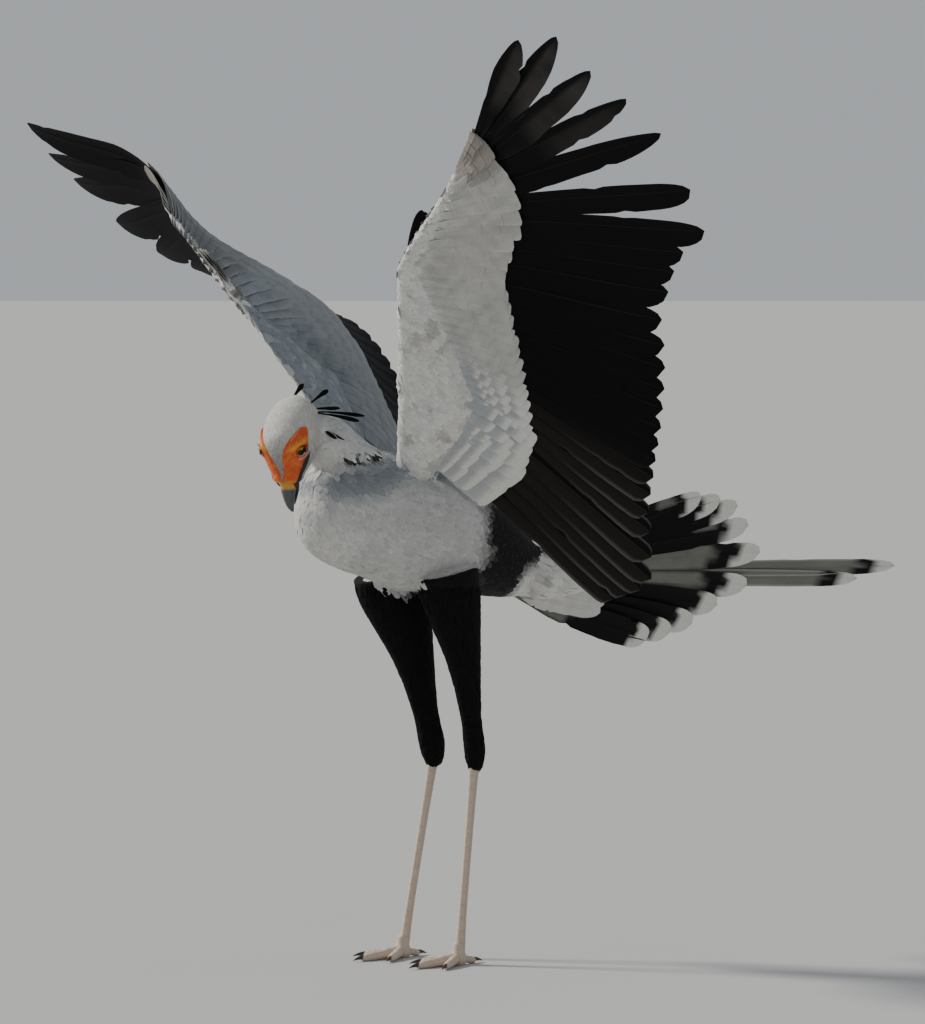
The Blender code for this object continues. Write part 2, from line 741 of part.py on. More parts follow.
def wing_feathers(wing, first, last):
    """Flight feathers with the greater coverts above and below them."""
    numbers = range(first, last)
    fingers = [n for n in numbers if n < FINGERS]
    others = [n for n in numbers if n >= FINGERS]
    pieces = tier(wing, fingers, FINGER_FORM, flight_width, whole, "black_feather")
    pieces += tier(wing, others, FLIGHT_FORM, flight_width, whole, "black_feather")
    count = HAND_COVERTS if first == 0 else ARM_COVERTS
    step = (last - first) / count
    rows = [first + (k + 0.5) * step - 0.5 for k in range(count)]
    for lift in (COVERT_LIFT, -COVERT_LIFT):
        pieces += tier(wing, rows, COVERT_FORM, covert_width, covert_reach, "grey_plumage", lift,
                       COVERT_OVERLAP * step)
    return pieces


def alula(wing):
    """Three short stiff feathers on the wrist's leading edge."""
    wrist, tip = wing.sizes["wrist"], wing.sizes["tip"]
    along = (tip - wrist).normalized()
    made = []
    for k in range(3):
        front = -wing.ahead(8 - k)[0].normalized()
        start = wrist + along * (0.020 + 0.010 * k) + front * 0.004 + wing.up(8) * (0.002 + 0.0024 * k)
        heading = (along + front * (0.22 - 0.06 * k)).normalized()
        length = 0.088 - 0.012 * k
        lead = (front - heading * front.dot(heading)).normalized()
        up = lead.cross(heading).normalized()
        count = len(COVERT_FORM)
        made.append(vane([start + heading * (length * share) for share, part in COVERT_FORM],
                         [lead] * count, [up] * count, [0.021 * part for share, part in COVERT_FORM],
                         "black_feather"))
    return made


def make_wing(side, sizes):
    wing = Wing(sizes)
    arm = arm_core("wing_" + side + "_arm", wing)
    hand = hand_core("wing_" + side + "_hand", wing)
    arm_feathers = wing_feathers(wing, PRIMARIES, FLIGHT)
    cutters = [swollen(body, 1.6 * GAP) for body in [arm] + arm_feathers]
    fuse(arm, arm_feathers)
    fuse(hand, wing_feathers(wing, 0, PRIMARIES) + alula(wing))
    cut(hand, cutters)
    return arm, hand


# Tail: twelve feathers in a fan that is rolled with its left edge up

TAIL_ROOT = Vector((0.0, 0.165, 0.600))
TAIL_ROLL = math.radians(60.0)
TAIL_COVERT = 0.190
TAIL_STACK = 0.0022
# A row holds the feather's place from the middle, degrees outward, length and degrees to the right.
TAIL_FAN = (
    (0.0, 0.0, 0.790, 2.6), (0.5, 0.7, 0.782, 2.6), (1.5, 2.6, 0.500, 1.6), (2.5, 7.9, 0.452, 0.4),
    (3.5, 12.8, 0.417, 0.0), (4.5, 15.6, 0.376, 0.0), (5.5, 18.0, 0.333, 0.0), (6.0, 19.2, 0.310, 0.0),
)


class Tail:
    """The arched surface that the tail feathers follow, from -5.5 at the right to 5.5 at the left."""

    across = Vector((math.cos(TAIL_ROLL), 0.0, math.sin(TAIL_ROLL)))
    above = Vector((-math.sin(TAIL_ROLL), 0.0, math.cos(TAIL_ROLL)))

    def up(self, rank):
        return self.above

    def __call__(self, rank, share):
        degrees, length, swing = smooth(TAIL_FAN, abs(rank))
        if abs(rank) < 1:
            length *= 1.0 + 0.048 * math.copysign(1.0, rank)
        turn = math.radians(math.copysign(degrees, rank) - swing)
        ahead = Vector((0, 1, 0)) * math.cos(turn) + self.across * math.sin(turn)
        return TAIL_ROOT + self.across * (0.032 * rank / 5.5) + ahead * (length * share)


def make_tail():
    rows = [
        (0.0, 0, 0.150, 0.616, 0.052, 0.050, 0.052),
        (0.3, 0, 0.200, 0.600, 0.046, 0.040, 0.044),
        (0.6, 0, 0.260, 0.592, 0.036, 0.026, 0.034),
        (0.85, 0, 0.310, 0.588, 0.024, 0.014, 0.020),
        (1.0, 0, 0.335, 0.586, 0.012, 0.006, 0.010),
    ]
    tail = tube("tail", rows, "grey_plumage", 12, 6)
    surface = Tail()
    ranks = [k - 5.5 for k in range(12)]

    def stack(rank):
        """The middle pair lies uppermost and each outer feather below its inner neighbour."""
        return -TAIL_STACK * (abs(rank) + (0.4 if rank < 0 else 0.0))

    def width(rank):
        return TAIL_WIDTH if abs(rank) > 1 else 0.84 * TAIL_WIDTH

    def covert_share(rank):
        return TAIL_COVERT / smooth(TAIL_FAN, abs(rank))[1]

    pieces = tier(surface, ranks, FLIGHT_FORM, width, whole, "black_feather", 0.0, 4.0, 0.0, 0.5, stack)
    for lift in (0.006, -0.018):
        pieces += tier(surface, [1.6 * (k - 2.0) for k in range(5)], COVERT_FORM, width, covert_share,
                       "grey_plumage", lift, 4.0, 0.0, 0.5, stack)
    return fuse(tail, pieces)


def settle_origin():
    """Put the origin on the floor below the middle of the whole bird."""
    corners = [o.matrix_world @ v.co for o in bpy.data.objects for v in o.data.vertices]
    low_x, high_x = min(c.x for c in corners), max(c.x for c in corners)
    low_y, high_y = min(c.y for c in corners), max(c.y for c in corners)
    shift = Vector((-(low_x + high_x) / 2, -(low_y + high_y) / 2, 0.0))
    for body in bpy.data.objects:
        for vert in body.data.vertices:
            vert.co += shift
    return shift


def build():
    for item in list(bpy.data.objects):
        bpy.data.objects.remove(item)
    random.seed(7)
    torso = make_torso()
    head = make_head()
    neck = make_neck()
    upper, lower = make_bill()
    eyes = make_eyes()
    clear_of(neck, torso)
    clear_of(neck, head)
    for piece in (upper, lower):
        clear_of(piece, head)
    for eye in eyes:
        clear_of(head, eye)
    for side, sizes in WINGS.items():
        arm, hand = make_wing(side, sizes)
        clear_of(arm, torso)
        clear_of(arm, neck)
    tail = make_tail()
    clear_of(tail, torso)
    for side, leg in LEGS.items():
        shin = make_trousers(side, leg)
        clear_of(shin, torso)
        foot, claws = make_foot(side, leg, 1 if side == "left" else -1)
        shank = make_shank(side, leg)
        clear_of(shank, shin)
        clear_of(shank, foot)
        for claw in claws:
            clear_of(claw, foot)
    return settle_origin()


SHIFT = build()
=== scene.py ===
# Secretary bird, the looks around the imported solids. Metres, +Z up, the bird faces -Y.
# All shapes are made in the bird's own frame and then moved by SHIFT into the part's frame.

import math

import bpy
import numpy as np
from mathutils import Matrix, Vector
from mathutils.kdtree import KDTree


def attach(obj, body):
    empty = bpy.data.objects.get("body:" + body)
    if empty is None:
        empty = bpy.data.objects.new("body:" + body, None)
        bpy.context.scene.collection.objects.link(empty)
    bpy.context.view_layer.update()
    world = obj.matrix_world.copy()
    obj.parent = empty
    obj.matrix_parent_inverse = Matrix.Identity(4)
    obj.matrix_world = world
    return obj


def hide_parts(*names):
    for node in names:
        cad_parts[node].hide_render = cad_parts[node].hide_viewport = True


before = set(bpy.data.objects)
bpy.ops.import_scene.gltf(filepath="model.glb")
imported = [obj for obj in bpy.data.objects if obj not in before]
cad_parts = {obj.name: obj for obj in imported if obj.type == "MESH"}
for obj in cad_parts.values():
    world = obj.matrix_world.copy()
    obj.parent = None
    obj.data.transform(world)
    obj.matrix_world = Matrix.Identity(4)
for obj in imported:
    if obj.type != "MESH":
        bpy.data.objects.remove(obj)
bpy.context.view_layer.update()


SHIFT = np.array((0.0125227, -0.3178105, 0.0))
random = np.random.default_rng(11)

# Colours, linear
WHITE = np.array((0.72, 0.71, 0.67))
PALE = np.array((0.53, 0.53, 0.51))
HEAD_GREY = np.array((0.50, 0.49, 0.46))
BLUE_GREY = np.array((0.235, 0.262, 0.290))
SMOKE = np.array((0.155, 0.145, 0.130))
BROWN = np.array((0.085, 0.072, 0.060))
BLACK = np.array((0.0042, 0.0042, 0.0048))
SHAFT = np.array((0.030, 0.027, 0.024))
ORANGE = np.array((0.66, 0.085, 0.003))
YELLOW = np.array((0.78, 0.36, 0.03))
FLESH = np.array((0.58, 0.47, 0.37))
HORN = np.array((0.058, 0.072, 0.076))
TAIL_GREY = np.array((0.185, 0.185, 0.165))
FOREHEAD = np.array((0.21, 0.20, 0.20))
PALE_STREAK = np.array((0.62, 0.50, 0.40))
PUPIL = np.array((0.004, 0.003, 0.003))
IRIS = np.array((0.045, 0.022, 0.010))
EYE_RIM = np.array((0.020, 0.015, 0.012))
CLAW_DARK = np.array((0.020, 0.018, 0.017))
CLAW_PALE = np.array((0.075, 0.062, 0.052))

# The way to the right in the photo
RIGHT = np.array((0.616, 0.788, 0.0))

# Coat
COAT_DEPTH = 0.0034
SKIN_VOXEL = 0.0030
PIECE_LIMIT = 190000


# Small helpers for arrays of points

def unit(vectors):
    vectors = np.asarray(vectors, float)
    return vectors / np.maximum(np.linalg.norm(vectors, axis=-1, keepdims=True), 1e-12)


def dot(a, b):
    return (a * b).sum(-1)


def fade(low, high, value):
    """0 below low, 1 above high, smooth between."""
    t = np.clip((np.asarray(value, float) - low) / (high - low), 0.0, 1.0)
    return t * t * (3 - 2 * t)


def mix(a, b, share):
    share = np.asarray(share, float)[..., None]
    return a * (1 - share) + b * share


def bell(value, width):
    """1 at 0, falling smoothly to nothing about twice the width away."""
    return np.exp(-(value / width) ** 2)


def circle(count):
    """Cosine and sine of evenly spaced turns once round."""
    turn = 2 * np.pi * np.arange(count) / count
    return np.cos(turn), np.sin(turn)


def repeated(quads, count, size):
    """The same quads for many parts of size points each."""
    return (quads[None] + (np.arange(count) * size)[:, None, None]).reshape(-1, 4)


def tree_of(points):
    """The points as a tree that finds the ones nearest to a place."""
    tree = KDTree(len(points))
    for k, spot in enumerate(points):
        tree.insert(spot, k)
    tree.balance()
    return tree


def smooth(rows, at):
    """Read a table at many places: a smooth curve through its rows, whose first column is the place."""
    rows = np.asarray(rows, float)
    x, y = rows[:, 0], rows[:, 1:]
    at = np.clip(np.asarray(at, float), x[0], x[-1])
    step = np.diff(y, axis=0) / np.diff(x)[:, None]
    slope = np.vstack([step[:1], (step[:-1] + step[1:]) / 2, step[-1:]])
    k = np.clip(np.searchsorted(x, at, side="right") - 1, 0, len(x) - 2)
    span = (x[k + 1] - x[k])[..., None]
    t = (at - x[k])[..., None] / span
    return ((2 * t**3 - 3 * t**2 + 1) * y[k] + (t**3 - 2 * t**2 + t) * slope[k] * span
            + (-2 * t**3 + 3 * t**2) * y[k + 1] + (t**3 - t**2) * slope[k + 1] * span)


def blotch(points, size, seed=0.0):
    """Soft irregular patches from 0 to 1, about size apart."""
    p = np.asarray(points) / size
    total = np.zeros(p.shape[:-1])
    for k, turn in enumerate((0.7, 1.9, 3.1, 4.6)):
        way = np.array((math.cos(turn), math.sin(turn), math.cos(turn * 2.3 + 1)))
        bend = np.sin(p[..., (k + 1) % 3] * 2.1 + seed + k)
        total += np.sin((p * way).sum(-1) * (2.2 + 0.5 * k) + bend * 1.7 + seed * 1.3 + k)
    return 0.5 + total / 8


# Materials

def nodes_of(name, roughness, sheen=0.0, specular=0.5):
    made = bpy.data.materials.new(name)
    made.use_nodes = True
    shader = made.node_tree.nodes["Principled BSDF"]
    shader.inputs["Roughness"].default_value = roughness
    shader.inputs["Sheen Weight"].default_value = sheen
    shader.inputs["Sheen Roughness"].default_value = 0.5
    shader.inputs["Specular IOR Level"].default_value = specular
    return made, made.node_tree, shader


def add(tree, kind, **inputs):
    node = tree.nodes.new(kind)
    for key, value in inputs.items():
        if key in node.inputs:
            node.inputs[key].default_value = value
        else:
            setattr(node, key, value)
    return node


def tinted(tree, shader, scale, amount, coordinate):
    """Base colour: the painted tint, varied by fine noise."""
    tint = add(tree, "ShaderNodeAttribute", attribute_name="Tint")
    noise = add(tree, "ShaderNodeTexNoise", Scale=scale, Detail=4.0)
    tree.links.new(coordinate, noise.inputs["Vector"])
    spread = add(tree, "ShaderNodeMapRange")
    spread.inputs["To Min"].default_value = 1.0 - amount
    spread.inputs["To Max"].default_value = 1.0 + amount
    tree.links.new(noise.outputs["Fac"], spread.inputs["Value"])
    times = add(tree, "ShaderNodeMix", data_type="RGBA", blend_type="MULTIPLY")
    times.inputs["Factor"].default_value = 1.0
    tree.links.new(tint.outputs["Color"], times.inputs[6])
    tree.links.new(spread.outputs["Result"], times.inputs[7])
    tree.links.new(times.outputs[2], shader.inputs["Base Color"])


def bump(tree, shader, height, strength, distance):
    node = add(tree, "ShaderNodeBump", Strength=strength, Distance=distance)
    tree.links.new(height, node.inputs["Height"])
    tree.links.new(node.outputs["Normal"], shader.inputs["Normal"])


def feather_look(name, roughness, sheen, specular, barb_size, strength):
    """Barbs as fine slanted ribs to each side of the shaft, read from the feather's own measures."""
    made, tree, shader = nodes_of(name, roughness, sheen, specular)
    barbs = add(tree, "ShaderNodeAttribute", attribute_name="Barbs")
    tinted(tree, shader, 260.0, 0.22, barbs.outputs["Vector"])
    wave = add(tree, "ShaderNodeTexWave", wave_type="BANDS", bands_direction="X", Distortion=1.6,
               Scale=1.0 / (barb_size * 2 * math.pi), Detail=2.0)
    wave.inputs["Detail Scale"].default_value = 1.5
    tree.links.new(barbs.outputs["Vector"], wave.inputs["Vector"])
    bump(tree, shader, wave.outputs["Fac"], strength, 0.0004)
    return made


def skin_look(name, roughness, scale, strength, distance, specular=0.4, soft=0.0, coat=0.0):
    """Skin and horn: painted tint with fine folds from noise and small cells."""
    made, tree, shader = nodes_of(name, roughness, 0.0, specular)
    place = add(tree, "ShaderNodeTexCoord")
    tinted(tree, shader, scale * 0.6, 0.16, place.outputs["Object"])
    cells = add(tree, "ShaderNodeTexVoronoi", Scale=scale)
    tree.links.new(place.outputs["Object"], cells.inputs["Vector"])
    bump(tree, shader, cells.outputs["Distance"], strength, distance)
    if soft:
        shader.inputs["Subsurface Weight"].default_value = soft
        shader.inputs["Subsurface Radius"].default_value = (0.004, 0.0015, 0.0008)
    if coat:
        shader.inputs["Coat Weight"].default_value = coat
        shader.inputs["Coat Roughness"].default_value = 0.12
    return made


LOOKS = {
    "coat": feather_look("coat", 0.82, 0.06, 0.15, 0.0006, 0.30),
    "dark_coat": feather_look("dark_coat", 0.80, 0.0, 0.10, 0.0006, 0.30),
    "flight": feather_look("flight", 0.66, 0.0, 0.10, 0.0009, 0.45),
    "skin": skin_look("under_skin", 0.85, 300.0, 0.2, 0.0004, 0.2),
    "face": skin_look("face", 0.46, 900.0, 0.55, 0.0006, 0.5, soft=0.15),
    "bill": skin_look("bill", 0.30, 260.0, 0.08, 0.0003, 0.5, coat=0.25),
    "scales": skin_look("scales", 0.52, 620.0, 0.5, 0.0005, 0.45),
    "claw": skin_look("claw", 0.28, 400.0, 0.1, 0.0002, 0.5, coat=0.2),
    "eye": skin_look("eye_ball", 0.10, 900.0, 0.02, 0.0001, 0.16, coat=0.05),
}


# Meshes

def ring_quads(rows, count, cap=False):
    """Quads round a stack of closed rings, with flat ends where cap is set."""
    start = np.arange(rows - 1)[:, None] * count
    side = np.arange(count)[None]
    a, b = start + side, start + (side + 1) % count
    quads = np.stack([a, b, b + count, a + count], -1).reshape(-1, 4)
    if cap:
        j = np.arange(count // 2 - 1)
        end = np.stack([j, count - 1 - j, count - 2 - j, j + 1], -1)
        last = np.stack([j, j + 1, count - 2 - j, count - 1 - j], -1) + (rows - 1) * count
        quads = np.vstack([quads, end, last])
    return quads


def crease(mesh, ring, edges):
    """Mark the lines along thin feathers as sharp, so that light falls on them as on flat vanes."""
    ends = np.empty(len(mesh.edges) * 2, np.int32)
    mesh.edges.foreach_get("vertices", ends)
    first, second = (ends % ring).reshape(-1, 2).T
    sharp = mesh.attributes.new("sharp_edge", "BOOLEAN", "EDGE")
    sharp.data.foreach_set("value", (first == second) & np.isin(first, edges))


def piece(name, points, quads, look, slot, colours, barbs=None, bake=None, replaces=(), sharp=None):
    """A smooth-shaded piece that rides on the body, from points in the bird's frame."""
    points = np.asarray(points, float).reshape(-1, 3) + SHIFT
    quads = np.asarray(quads, np.int32)
    corners = points[quads]
    fans = np.cross(corners[:, 1], corners[:, 2]) + np.cross(corners[:, 2], corners[:, 3])
    volume = dot(corners[:, 0], fans).sum()
    if volume < 0:
        quads = quads[:, ::-1]
    mesh = bpy.data.meshes.new(name)
    mesh.vertices.add(len(points))
    mesh.vertices.foreach_set("co", points.astype(np.float32).ravel())
    mesh.loops.add(quads.size)
    mesh.loops.foreach_set("vertex_index", quads.astype(np.int32).ravel())
    mesh.polygons.add(len(quads))
    mesh.polygons.foreach_set("loop_start", np.arange(0, quads.size, 4, dtype=np.int32))
    mesh.update(calc_edges=True)
    dress(mesh, colours, barbs)
    mesh.shade_smooth()
    if sharp:
        crease(mesh, *sharp)
    if bake is not None:
        layer = mesh.uv_layers.new(name="OFBake")
        layer.data.foreach_set("uv", np.asarray(bake, np.float32).reshape(-1, 2)[quads.ravel()].ravel())
    return settle(name, mesh, look, slot, replaces)


def ring_piece(name, grid, look, slot, colours, replaces=()):
    """A piece from a grid of closed rings with flat ends."""
    return piece(name, grid, ring_quads(*grid.shape[:2], cap=True), look, slot, colours, replaces=replaces)


def dress(mesh, colours, barbs=None):
    """Paint a mesh and store the measures that its barbs are read from."""
    tint = mesh.color_attributes.new("Tint", "FLOAT_COLOR", "POINT")
    count = len(mesh.vertices)
    rgba = np.ones((count, 4), np.float32)
    rgba[:, :3] = np.clip(np.asarray(colours).reshape(-1, 3), 0, 1)
    tint.data.foreach_set("color", rgba.ravel())
    if barbs is not None:
        measures = mesh.attributes.new("Barbs", "FLOAT_VECTOR", "POINT")
        measures.data.foreach_set("vector", np.asarray(barbs, np.float32).ravel())


def settle(name, mesh, look, slot, replaces=()):
    mesh.materials.append(LOOKS[look])
    made = bpy.data.objects.new(name, mesh)
    bpy.context.scene.collection.objects.link(made)
    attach(made, "root")
    if replaces:
        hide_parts(*replaces)
    return made


# The body's sections, as in the solids

TORSO = [
    (0.00, 0, -0.252, 0.700, 0.012, 0.014, 0.014), (0.03, 0, -0.240, 0.700, 0.040, 0.046, 0.048),
    (0.08, 0, -0.215, 0.703, 0.064, 0.070, 0.076), (0.16, 0, -0.175, 0.708, 0.082, 0.084, 0.096),
    (0.27, 0, -0.120, 0.708, 0.094, 0.092, 0.108), (0.40, 0, -0.060, 0.698, 0.098, 0.100, 0.116),
    (0.54, 0, 0.005, 0.680, 0.096, 0.098, 0.112), (0.67, 0, 0.065, 0.655, 0.085, 0.084, 0.094),
    (0.80, 0, 0.125, 0.627, 0.067, 0.064, 0.070), (0.92, 0, 0.178, 0.604, 0.046, 0.044, 0.048),
    (1.00, 0, 0.212, 0.590, 0.024, 0.022, 0.024),
]
NECK = [
    (0.0, 0.000, -0.105, 0.735, 0.066, 0.060, 0.060), (0.4, 0.004, -0.165, 0.782, 0.052, 0.042, 0.050),
    (0.7, 0.008, -0.215, 0.822, 0.044, 0.037, 0.044), (1.0, 0.014, -0.262, 0.832, 0.036, 0.034, 0.036),
]
TAIL_CORE = [
    (0.0, 0, 0.150, 0.616, 0.052, 0.050, 0.052), (0.3, 0, 0.200, 0.600, 0.046, 0.040, 0.044),
    (0.6, 0, 0.260, 0.592, 0.036, 0.026, 0.034), (0.85, 0, 0.310, 0.588, 0.024, 0.014, 0.020),
    (1.0, 0, 0.335, 0.586, 0.012, 0.006, 0.010),
]
HEAD_TURN = math.radians(28.0)
CROWN = np.array((math.sin(HEAD_TURN), -math.cos(HEAD_TURN), 0.0))
NEAR = np.array((math.cos(HEAD_TURN), math.sin(HEAD_TURN), 0.0))
UP = np.array((0.0, 0.0, 1.0))
HEAD_X, HEAD_Y = 0.020, -0.287
EYE_HEIGHT, EYE_ACROSS, EYE_FORWARD = 0.8035, 0.0284, 0.0252
EYE_RADIUS = 0.0100
# A row holds height, shift toward the crown, half width, depth to the crown, depth to the throat.
HEAD = [
    (0.752, 0.003, 0.010, 0.012, 0.012), (0.757, 0.003, 0.020, 0.023, 0.021),
    (0.769, 0.003, 0.025, 0.028, 0.027), (0.784, 0.001, 0.033, 0.037, 0.037),
    (0.802, 0.000, 0.041, 0.046, 0.047), (0.821, 0.000, 0.043, 0.050, 0.050),
    (0.842, -0.004, 0.042, 0.046, 0.050), (0.860, -0.010, 0.037, 0.040, 0.046),
    (0.873, -0.014, 0.028, 0.030, 0.036), (0.882, -0.016, 0.016, 0.016, 0.020),
    (0.886, -0.016, 0.006, 0.006, 0.007),
]
FLOOR = 0.0
ANKLE_HEIGHT, THIGH_HEIGHT = 0.300, 0.560
LEGS = {
    "left": {"foot": (0.058, 0.004, FLOOR), "ankle": (0.055, 0.038, ANKLE_HEIGHT),
             "thigh": (0.058, -0.012, THIGH_HEIGHT), "full": 1.0},
    "right": {"foot": (-0.062, -0.013, FLOOR), "ankle": (-0.055, 0.043, ANKLE_HEIGHT),
              "thigh": (-0.058, -0.036, THIGH_HEIGHT), "full": 1.2},
}
# A row holds the place down the leg, bulge backward, half width, depth in front, depth behind.
TROUSERS = (
    (0.0, -0.004, 0.044, 0.056, 0.056), (0.10, -0.002, 0.042, 0.053, 0.054),
    (0.28, 0.004, 0.033, 0.040, 0.042), (0.43, 0.008, 0.025, 0.030, 0.032),
    (0.74, 0.008, 0.0155, 0.0185, 0.019), (0.93, 0.006, 0.016, 0.018, 0.018),
    (1.0, 0.003, 0.010, 0.012, 0.012),
)


def head_point(height, across, forward):
    """A point in the head's own directions: height, toward the near side, toward the crown."""
    height = np.asarray(height, float)
    base = np.stack([np.full(height.shape, HEAD_X), np.full(height.shape, HEAD_Y), height], -1)
    return base + NEAR * np.asarray(across, float)[..., None] + CROWN * np.asarray(forward, float)[..., None]


def head_surface(height, turn, shrink=0.0):
    """The head's surface at a height and a turn from the crown toward the near side."""
    shift, wide, crown, throat = np.moveaxis(smooth(HEAD, height), -1, 0)
    c, s = np.cos(turn), np.sin(turn)
    forward = np.where(c >= 0, crown - shrink, throat - shrink) * c
    return head_point(height, np.maximum(wide - shrink, 0.002) * s, shift + forward)


def tube(rows, count, rings, shrink=0.0, side=(1.0, 0.0, 0.0)):
    """Rings of points along a spine. A row holds place, x, y, z, half width, height above, depth below."""
    first, last = rows[0][0], rows[-1][0]
    at = np.linspace(first, last, rings)
    here = smooth(rows, at)
    nudge = (last - first) * 0.01
    ahead = smooth(rows, np.minimum(at + nudge, last))[:, :3]
    behind = smooth(rows, np.maximum(at - nudge, first))[:, :3]
    along = unit(ahead - behind)
    side = np.array(side)
    across = unit(side - along * (along @ side)[:, None])
    up = np.cross(across, along)
    up[(up[:, 2] < -0.3)] *= -1
    c, s = circle(count)
    wide, high, low = [np.maximum(here[:, k] - shrink, 0.003)[:, None] for k in (3, 4, 5)]
    lift = np.where(s >= 0, high, low) * s
    return here[:, None, :3] + across[:, None] * (wide * c)[..., None] + up[:, None] * lift[..., None]


def trouser_rows(leg):
    top, low = np.array(leg["thigh"]), np.array(leg["ankle"])
    rows = []
    for at, bulge, wide, front, back in TROUSERS:
        place = top + (low - top) * at
        rows.append((at, place[0], place[1] + bulge, place[2] + 0.05 * (1 - at), wide * leg["full"],
                     front * leg["full"], back * leg["full"]))
    return rows


# Wings: the same bones and fans as the solids

PRIMARIES, SECONDARIES = 10, 17
FLIGHT = PRIMARIES + SECONDARIES
FINGERS = 5
WINGS = {
    "left": {
        "side": 1, "shoulder": (0.055, -0.100, 0.765), "elbow": (0.167, -0.076, 0.891),
        "wrist": (0.143, -0.164, 1.076), "tip": (0.268, -0.155, 1.219),
        "fan": [
            (0, -21.0, 33.4, 0.341, 0.004), (1, -13.5, 30.2, 0.394, 0.004), (2, -6.0, 23.4, 0.402, 0.004),
            (4, 11.0, 13.2, 0.427, 0.006), (5, 20.0, 4.2, 0.434, 0.008), (6, 28.0, -1.8, 0.437, 0.010),
            (7, 32.0, -3.8, 0.406, 0.012), (9, 38.0, -7.1, 0.398, 0.018), (11, 43.5, -13.5, 0.396, 0.020),
            (15, 51.5, -23.7, 0.381, 0.022), (18, 57.5, -29.6, 0.366, 0.022), (21, 63.5, -36.1, 0.368, 0.022),
            (23, 66.0, -38.7, 0.415, 0.022), (26, 69.0, -39.4, 0.390, 0.022),
        ],
    },
    "right": {
        "side": -1, "shoulder": (-0.055, -0.100, 0.765), "elbow": (-0.163, -0.106, 0.921),
        "wrist": (-0.146, -0.261, 1.029), "tip": (-0.281, -0.294, 1.158),
        "fan": [
            (0, -9.0, 24.1, 0.365, 0.044), (1, 1.0, 16.4, 0.380, 0.044), (2, 10.0, 10.5, 0.412, 0.042),
            (3, 19.5, 2.2, 0.410, 0.039), (4, 28.0, -3.0, 0.410, 0.037), (6, 42.0, -5.5, 0.420, 0.033),
            (9, 56.0, -4.0, 0.400, 0.036), (11, 62.0, -4.5, 0.396, 0.036), (15, 68.0, -12.0, 0.385, 0.034),
            (21, 73.0, -30.0, 0.370, 0.030), (23, 74.0, -36.0, 0.400, 0.028), (26, 75.0, -40.0, 0.390, 0.024),
        ],
    },
}
PRIMARY_ROOTS = (1.0, 0.95, 0.88, 0.80, 0.70, 0.60, 0.50, 0.38, 0.25, 0.12)
ROOT_SPREAD = 0.22
LEAD_SHARE = 0.38
SHINGLE = 0.0028


class Wing:
    """The surface that a wing's flight feathers follow, read by feather number and share."""

    def __init__(self, name):
        sizes = WINGS[name]
        self.name = name
        self.side = sizes["side"]
        self.fan = sizes["fan"]
        self.shoulder, self.elbow, self.wrist, self.tip = [
            np.array(sizes[key]) for key in ("shoulder", "elbow", "wrist", "tip")]
        roots = [self.wrist + (self.tip - self.wrist) * at for at in PRIMARY_ROOTS]
        for place in range(SECONDARIES):
            if place < 12:
                roots.append(self.wrist + (self.elbow - self.wrist) * (0.02 + 0.97 * place / 11))
            else:
                roots.append(self.elbow + (self.shoulder - self.elbow) * (0.12 * (place - 11)))
        self.roots = np.array(roots)

    def root(self, number):
        number = np.asarray(number, float)
        low = np.clip(np.floor(number).astype(int), 0, FLIGHT - 2)
        share = (number - low)[..., None]
        return self.roots[low] * (1 - share) + self.roots[low + 1] * share

    def ahead(self, number):
        number = np.asarray(number, float)
        values = smooth(self.fan, number)
        last = FLIGHT - 1.0
        for edge, inner, beyond in ((0.0, 0.5, number < 0), (last, last - 0.5, number > last)):
            trend = (smooth(self.fan, edge) - smooth(self.fan, inner))[:2]
            far = np.where(beyond, 2 * np.abs(number - edge), 0.0)[..., None]
            values[..., :2] = values[..., :2] + far * trend
        outward, rise = np.radians(values[..., 0]), np.radians(values[..., 1])
        flat = np.cos(rise)
        way = np.stack([self.side * np.cos(outward) * flat, np.sin(outward) * flat, np.sin(rise)], -1)
        return way * values[..., 2:3], values[..., 3]

    def up(self, number):
        number = np.asarray(number, float)
        across = self.root(number - 0.5) + self.ahead(number - 0.5)[0] * 0.5
        across = across - self.root(number + 0.5) - self.ahead(number + 0.5)[0] * 0.5
        return unit(np.cross(across, self.ahead(number)[0]) * self.side)

    def __call__(self, number, share):
        way, bow = self.ahead(number)
        share = np.asarray(share, float)
        rise = bow * 6.75 * share * (1 - share) ** 2
        return self.root(number) + way * share[..., None] + self.up(number) * rise[..., None]


class Tail:
    """The surface that the tail feathers follow, from -5.5 at the right to 5.5 at the left."""

    root_place = np.array((0.0, 0.165, 0.600))
    roll = math.radians(60.0)
    across = np.array((math.cos(roll), 0.0, math.sin(roll)))
    above = np.array((-math.sin(roll), 0.0, math.cos(roll)))
    fan = ((0.0, 0.0, 0.790, 2.6), (0.5, 0.7, 0.782, 2.6), (1.5, 2.6, 0.500, 1.6), (2.5, 7.9, 0.452, 0.4),
           (3.5, 12.8, 0.417, 0.0), (4.5, 15.6, 0.376, 0.0), (5.5, 18.0, 0.333, 0.0), (6.0, 19.2, 0.310, 0.0))

    def up(self, rank):
        return np.broadcast_to(self.above, np.shape(rank) + (3,))

    def __call__(self, rank, share):
        rank = np.asarray(rank, float)
        values = smooth(self.fan, np.abs(rank))
        length = values[..., 1] * np.where(np.abs(rank) < 1, 1.0 + 0.048 * np.sign(rank), 1.0)
        turn = np.radians(np.sign(rank) * values[..., 0] - values[..., 2])
        ahead = np.array((0, 1, 0)) * np.cos(turn)[..., None] + self.across * np.sin(turn)[..., None]
        start = self.root_place + self.across * (0.032 * rank / 5.5)[..., None]
        return start + ahead * (length * np.asarray(share, float))[..., None]


TAIL = Tail()
WING = {name: Wing(name) for name in WINGS}


